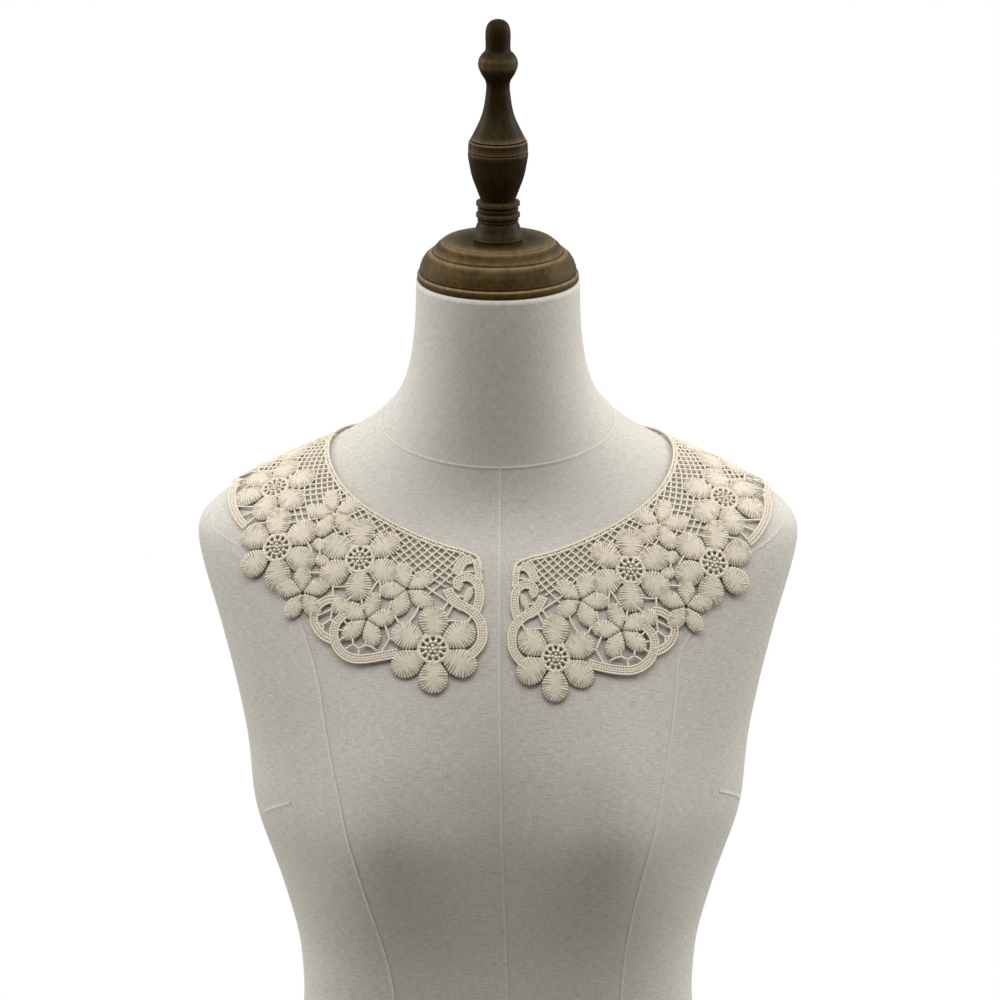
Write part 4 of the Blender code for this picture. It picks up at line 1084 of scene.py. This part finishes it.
def make_turned(name, rings, sharp, sides, foot, paint, shades):
    middle, axis, across, deep = neck_axis()
    rows = profile(rings, sharp)
    angle = 2 * math.pi * np.arange(sides) / sides
    spoke = across * np.cos(angle)[:, None] + deep * np.sin(angle)[:, None]
    centre = middle + axis * ((foot + rows[:, 1]) * MM)[:, None]
    points = (centre[:, None] + spoke[None] * (rows[:, 0] * MM)[:, None, None]).reshape(-1, 3)
    n = len(rows)
    j = np.arange(n - 1)[:, None]
    i = np.arange(sides)[None]
    i1 = (i + 1) % sides
    quads = np.stack(np.broadcast_arrays(j * sides + i, j * sides + i1, (j + 1) * sides + i1,
                                         (j + 1) * sides + i), -1).reshape(-1, 4)
    run = np.concatenate([[0], np.cumsum(np.hypot(np.diff(rows[:, 0]), np.diff(rows[:, 1])))]) * MM
    r0, r1 = run[:-1][:, None], run[1:][:, None]
    uv = np.stack([np.stack(np.broadcast_arrays(a / sides, b), -1)
                   for a, b in ((i, r0), (i + 1, r0), (i + 1, r1), (i, r1))], -2).reshape(-1, 4, 2)
    ends = np.array([centre[0], centre[-1]])
    k = np.arange(sides)
    kn = (k + 1) % sides
    last = (n - 1) * sides
    tris = np.concatenate([np.stack([np.full(sides, n * sides), kn, k], 1),
                           np.stack([np.full(sides, n * sides + 1), last + k, last + kn], 1)])
    mesh = Mesh()
    everything = np.concatenate([points, ends])
    # Edge wear, which also paints a pale highlight line along the ring edges.
    wear_and_highlight = np.append(np.repeat(np.clip(rows[:, 2], 0, 1), sides), [0.0, 0.2])
    # Painted shade: the shades by radius make the cap's top and the finial's thin parts darker.
    shade = np.append(np.repeat(np.interp(rows[:, 0], shades[0], shades[1]), sides), [1.0, shades[1][0]])
    mesh.add(everything, quads, uv, tris, np.zeros((len(tris), 3, 2)), wear_and_highlight, shade)
    made = mesh.build(name, everything, False, paint)
    made.data.set_sharp_from_angle(angle=math.radians(42))
    return made


class Paint:
    """A node material with its shader, made with short calls."""

    def __init__(self, name, roughness):
        self.material = bpy.data.materials.new(name)
        self.material.use_nodes = True
        self.tree = self.material.node_tree
        self.shader = self.tree.nodes["Principled BSDF"]
        self.shader.inputs["Roughness"].default_value = roughness

    def node(self, kind, links=None, values=None, **settings):
        made = self.tree.nodes.new("ShaderNode" + kind)
        for key, value in settings.items():
            setattr(made, key, value)
        for key, value in (values or {}).items():
            made.inputs[key].default_value = value
        for key, socket in (links or {}).items():
            self.tree.links.new(socket, made.inputs[key])
        return made

    def math(self, operation, a, b=0.0, clamp=False):
        made = self.node("Math", operation=operation, use_clamp=clamp)
        for k, value in enumerate((a, b)):
            if isinstance(value, (int, float)):
                made.inputs[k].default_value = value
            else:
                self.tree.links.new(value, made.inputs[k])
        return made.outputs[0]

    def mix(self, factor, a, b, blend="MIX"):
        made = self.node("Mix", data_type="RGBA", blend_type=blend)
        for key, value in ((0, factor), (6, a), (7, b)):
            if isinstance(value, (int, float, tuple)):
                made.inputs[key].default_value = value
            else:
                self.tree.links.new(value, made.inputs[key])
        return made.outputs[2]

    def noise(self, vector, scale, detail=3.0, roughness=0.55, stretch=None):
        if stretch:
            vector = self.node("Mapping", {"Vector": vector}, {"Scale": stretch}).outputs[0]
        return self.node("TexNoise", {"Vector": vector},
                         {"Scale": scale, "Detail": detail, "Roughness": roughness}).outputs[0]

    def finish(self, colour, height, distance, strength=0.6):
        self.tree.links.new(colour, self.shader.inputs["Base Color"])
        bump = self.node("Bump", {"Height": height}, {"Distance": distance, "Strength": strength})
        self.tree.links.new(bump.outputs[0], self.shader.inputs["Normal"])
        return self.material


def cotton_paint(name):
    """Matt twisted cotton thread, with painted shade in the hollows between stitches, under threads and on petal
    rims.
    """
    paint = Paint(name, 0.82)
    uv = paint.node("UVMap", uv_map="UVMap").outputs[0]
    parts = paint.node("SeparateXYZ", {0: uv})
    place = paint.node("TexCoord").outputs["Object"]
    stripe = paint.math("SINE", paint.math("MULTIPLY", parts.outputs[0], 2 * math.pi))
    stripe = paint.math("MULTIPLY_ADD", stripe, 0.5)
    stripe.node.inputs[2].default_value = 0.5
    fibre = paint.noise(place, 1050.0, 4.0, 0.75)
    patch = paint.noise(place, 55.0, 3.0)
    hollow = paint.node("Attribute", attribute_name="hollow").outputs["Fac"]
    tone = paint.node("Attribute", attribute_name="tone").outputs["Fac"]
    # Painted shade from the mesh's shading attribute and from the troughs between stitches darkens the cotton, along
    # with fibre mottle.
    deep = paint.math("MULTIPLY", paint.math("POWER", paint.math("MAXIMUM", hollow, 0.0), 1.5), 0.92)
    deep = paint.math("ADD", deep, paint.math("MULTIPLY", paint.math("SUBTRACT", 1.0, stripe), 0.10))
    deep = paint.math("ADD", deep, paint.math("MULTIPLY", paint.math("SUBTRACT", fibre, 0.5), 0.75), clamp=True)
    colour = paint.mix(deep, COTTON, COTTON_SHADE_AND_FIBRE)
    shift = paint.math("ADD", paint.math("MULTIPLY", tone, 0.10), paint.math("MULTIPLY", patch, 0.16))
    shift = paint.math("ADD", shift, 0.87)
    grey = paint.node("CombineColor", {0: shift, 1: shift, 2: shift}).outputs[0]
    colour = paint.mix(1.0, colour, grey, "MULTIPLY")
    paint.shader.inputs["Sheen Weight"].default_value = 0.12
    paint.shader.inputs["Specular IOR Level"].default_value = 0.3
    height = paint.math("ADD", paint.math("MULTIPLY", stripe, 0.6), paint.math("MULTIPLY", fibre, 0.7))
    return paint.finish(colour, height, 0.00014, 0.7)


def linen_paint(name):
    """Plain-woven linen with slubs, in threads of the cover's own directions, with painted shade and highlight along
    its seams.
    """
    paint = Paint(name, 0.88)
    uv = paint.node("UVMap", uv_map="UVMap").outputs[0]
    warp = paint.noise(uv, 1.0, 2.0, stretch=(1500.0, 190.0, 1.0))
    weft = paint.noise(uv, 1.0, 2.0, stretch=(170.0, 1500.0, 1.0))
    slub = paint.noise(uv, 1.0, 1.0, stretch=(150.0, 1150.0, 1.0))
    streak = paint.noise(uv, 1.0, 1.0, stretch=(900.0, 40.0, 1.0))
    cloud = paint.noise(uv, 9.0, 3.0)
    hollow = paint.node("Attribute", attribute_name="hollow").outputs["Fac"]
    slub_on = paint.node("MapRange", {"Value": slub}, {"From Min": 0.60, "From Max": 0.72}).outputs[0]
    streak_on = paint.node("MapRange", {"Value": streak}, {"From Min": 0.62, "From Max": 0.78}).outputs[0]
    weave = paint.math("ADD", paint.math("MULTIPLY", warp, 0.4), paint.math("MULTIPLY", weft, 0.6))
    dark = paint.node("MapRange", {"Value": weave}, {"From Min": 0.35, "From Max": 0.65}).outputs[0]
    dark = paint.math("MULTIPLY", dark, 0.90)
    dark = paint.math("ADD", dark, paint.math("MULTIPLY", slub_on, 0.55))
    dark = paint.math("ADD", dark, paint.math("MULTIPLY", streak_on, 0.16))
    dark = paint.math("ADD", dark, paint.math("MULTIPLY", paint.math("SUBTRACT", cloud, 0.5), 0.25))
    # Painted shade and highlight of the seams.
    dark = paint.math("ADD", dark, paint.math("MULTIPLY", hollow, 0.7), clamp=True)
    colour = paint.mix(dark, LINEN, LINEN_DARK)
    paint.shader.inputs["Sheen Weight"].default_value = 0.08
    paint.shader.inputs["Specular IOR Level"].default_value = 0.25
    height = paint.math("ADD", weave, paint.math("MULTIPLY", slub_on, 0.6))
    return paint.finish(colour, height, 0.00016, 0.55)


def wood_paint(name, rings, colours):
    """Dark turned wood: grain along the axis, polished, worn paler on its edges with a painted highlight there, and
    painted shade from the profile.
    """
    paint = Paint(name, 0.42)
    place = paint.node("TexCoord").outputs["Object"]
    lean = -math.radians(SECTIONS[-1][2])
    along = paint.node("Mapping", {"Vector": place}, {"Rotation": (lean, 0.0, 0.0)}).outputs[0]
    warp = paint.noise(along, 26.0, 2.0)
    bent = paint.node("VectorMath", {0: along}, operation="ADD")
    lean_in = paint.node("CombineXYZ", {0: paint.math("MULTIPLY", warp, 0.012)})
    paint.tree.links.new(lean_in.outputs[0], bent.inputs[1])
    stretch = (420.0, 420.0, 26.0) if not rings else (300.0, 60.0, 300.0)
    grain = paint.noise(bent.outputs[0], 1.0, 5.0, 0.6, stretch=stretch)
    pores = paint.noise(bent.outputs[0], 1.0, 2.0, 0.5, stretch=tuple(3.4 * s for s in stretch))
    figure = paint.noise(bent.outputs[0], 1.0, 3.0, 0.5, stretch=tuple(0.22 * s for s in stretch))
    wear_and_highlight = paint.node("Attribute", attribute_name="hollow").outputs["Fac"]
    tone = paint.math("ADD", paint.math("MULTIPLY", grain, 0.75), paint.math("MULTIPLY", figure, 0.6))
    tone = paint.node("MapRange", {"Value": tone}, {"From Min": 0.48, "From Max": 0.92}).outputs[0]
    colour = paint.mix(tone, *colours)
    # Painted shade: the cap's top and the finial's thin parts are drawn darker, with less reflection there.
    shade = paint.node("Attribute", attribute_name="tone").outputs["Fac"]
    grey = paint.node("CombineColor", {0: shade, 1: shade, 2: shade}).outputs[0]
    colour = paint.mix(1.0, colour, grey, "MULTIPLY")
    # Wear with a painted highlight: pale lines along the ring edges.
    rub_and_highlight = paint.math("MULTIPLY", wear_and_highlight, paint.math("ADD", paint.math("MULTIPLY", grain, 0.8), 0.2), clamp=True)
    colour = paint.mix(rub_and_highlight, colour, WOOD_WORN_AND_HIGHLIGHT)
    rough = paint.math("ADD", paint.math("MULTIPLY", pores, 0.3), 0.30)
    paint.tree.links.new(rough, paint.shader.inputs["Roughness"])
    paint.tree.links.new(paint.math("MULTIPLY", shade, 0.08), paint.shader.inputs["Specular IOR Level"])
    return paint.finish(colour, paint.math("ADD", grain, pores), 0.00012, 0.5)


def add_stage():
    """Pale floor under the form, soft light from above, the sides and behind."""
    bpy.ops.mesh.primitive_circle_add(vertices=96, radius=0.55, fill_type="NGON", location=(0, 0.12, -0.0006))
    floor = bpy.context.object
    floor.name = "floor"
    paint = Paint("floor_paint", 0.8)
    place = paint.node("TexCoord").outputs["Object"]
    cloud = paint.noise(place, 2.0, 2.0)
    colour = paint.mix(cloud, (0.45, 0.45, 0.44, 1.0), (0.50, 0.50, 0.49, 1.0))
    floor.data.materials.append(paint.finish(colour, cloud, 0.0001, 0.1))
    world = bpy.data.worlds.new("studio")
    bpy.context.scene.world = world
    world.use_nodes = True
    tree = world.node_tree
    tree.nodes.clear()
    coord = tree.nodes.new("ShaderNodeTexCoord")
    parts = tree.nodes.new("ShaderNodeSeparateXYZ")
    tree.links.new(coord.outputs["Generated"], parts.inputs[0])

    def ramp(socket, low, high, weight):
        made = tree.nodes.new("ShaderNodeMapRange")
        made.interpolation_type = "SMOOTHSTEP"
        made.inputs["From Min"].default_value = low
        made.inputs["From Max"].default_value = high
        made.inputs["To Max"].default_value = weight
        tree.links.new(socket, made.inputs["Value"])
        return made.outputs[0]

    level = 0.03
    aside = tree.nodes.new("ShaderNodeMath")
    aside.operation = "ABSOLUTE"
    tree.links.new(parts.outputs[0], aside.inputs[0])
    for lobe in (ramp(parts.outputs[1], 0.0, 0.8, 0.62), ramp(parts.outputs[2], 0.45, 1.0, 0.85),
                 ramp(aside.outputs[0], 0.45, 1.0, 1.5)):
        base = tree.nodes.new("ShaderNodeMath")
        base.operation = "ADD"
        if isinstance(level, float):
            base.inputs[0].default_value = level
        else:
            tree.links.new(level, base.inputs[0])
        tree.links.new(lobe, base.inputs[1])
        level = base.outputs[0]
    under = tree.nodes.new("ShaderNodeMath")
    under.operation = "MULTIPLY"
    dim = ramp(parts.outputs[2], -0.45, 0.3, 1.0)
    dim.node.inputs["To Min"].default_value = 0.1
    tree.links.new(level, under.inputs[0])
    tree.links.new(dim, under.inputs[1])
    light = tree.nodes.new("ShaderNodeBackground")
    light.inputs["Color"].default_value = (1.0, 0.99, 0.965, 1.0)
    tree.links.new(under.outputs[0], light.inputs["Strength"])
    white = tree.nodes.new("ShaderNodeBackground")
    white.inputs["Color"].default_value = (1.0, 1.0, 1.0, 1.0)
    rays = tree.nodes.new("ShaderNodeLightPath")
    mix = tree.nodes.new("ShaderNodeMixShader")
    tree.links.new(rays.outputs["Is Camera Ray"], mix.inputs[0])
    tree.links.new(light.outputs[0], mix.inputs[1])
    tree.links.new(white.outputs[0], mix.inputs[2])
    out = tree.nodes.new("ShaderNodeOutputWorld")
    tree.links.new(mix.outputs[0], out.inputs["Surface"])
    for name, spot, aim, size, energy in LAMPS:
        lamp = bpy.data.lights.new(name, "AREA")
        lamp.shape = "RECTANGLE"
        lamp.size, lamp.size_y = size
        lamp.energy = energy
        lamp.color = (1.0, 0.985, 0.95)
        holder = bpy.data.objects.new(name, lamp)
        bpy.context.scene.collection.objects.link(holder)
        holder.location = spot
        holder.rotation_euler = (Vector(aim) - Vector(spot)).to_track_quat("-Z", "Y").to_euler()


def add_camera():
    """The photograph's view: eight degrees above level, in front."""
    data = bpy.data.cameras.new("camera")
    data.sensor_width = 36.0
    data.lens = 134.58
    data.shift_x = 0.002
    camera = bpy.data.objects.new("camera", data)
    bpy.context.scene.collection.objects.link(camera)
    tilt = math.radians(8)
    camera.location = (0.0, STAND_SHIFT - 2.4 * math.cos(tilt), 0.542 + 2.4 * math.sin(tilt))
    camera.rotation_euler = (math.radians(82), 0.0, 0.0)
    bpy.context.scene.camera = camera


def main():
    add_camera()
    ground = Ground()
    stitches, eyelets = make_half(ground)
    _, border = outline_of(ground)
    for name, side in (("left", 1.0), ("right", -1.0)):
        paint = cotton_paint("cotton_" + name)
        lace = place_half("lace_" + name, stitches, ground, side, paint)
        middles = place_half("eyelets_" + name, eyelets, ground, side, paint)
        slot = "lace_cotton" if side > 0 else "lace_cotton_right"
        for piece in (lace, middles):
            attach(piece, "root")
        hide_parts("collar_" + name)
    linen = linen_paint("linen")
    form = make_form(linen)
    seams = make_seams(linen)
    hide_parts("dress_form")
    # Painted shade: the last argument darkens the cap's top and the finial's thin parts.
    cap = make_turned("cap_turned", NECK_CAP_RINGS, range(len(NECK_CAP_RINGS)), 160, SEAM_GAP,
                      wood_paint("cap_wood", True, CAP_COLOURS), ((36.0, 39.5), (0.4, 1.0)))
    finial = make_turned("finial_turned", FINIAL_RINGS, SHARP_RINGS, 96, CAP_TOP + 2 * SEAM_GAP,
                         wood_paint("finial_wood_grain", False, FINIAL_COLOURS), ((0.0, 8.5, 12.0), (0.6, 0.8, 1.0)))
    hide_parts("neck_cap")
    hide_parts("finial")
    for piece, slot in ((form, "form_cloth"), (seams, "form_cloth"), (cap, "neck_cap_wood"),
                        (finial, "finial_wood")):
        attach(piece, "root")
    add_stage()
    bpy.context.scene.view_settings.view_transform = "Standard"


main()
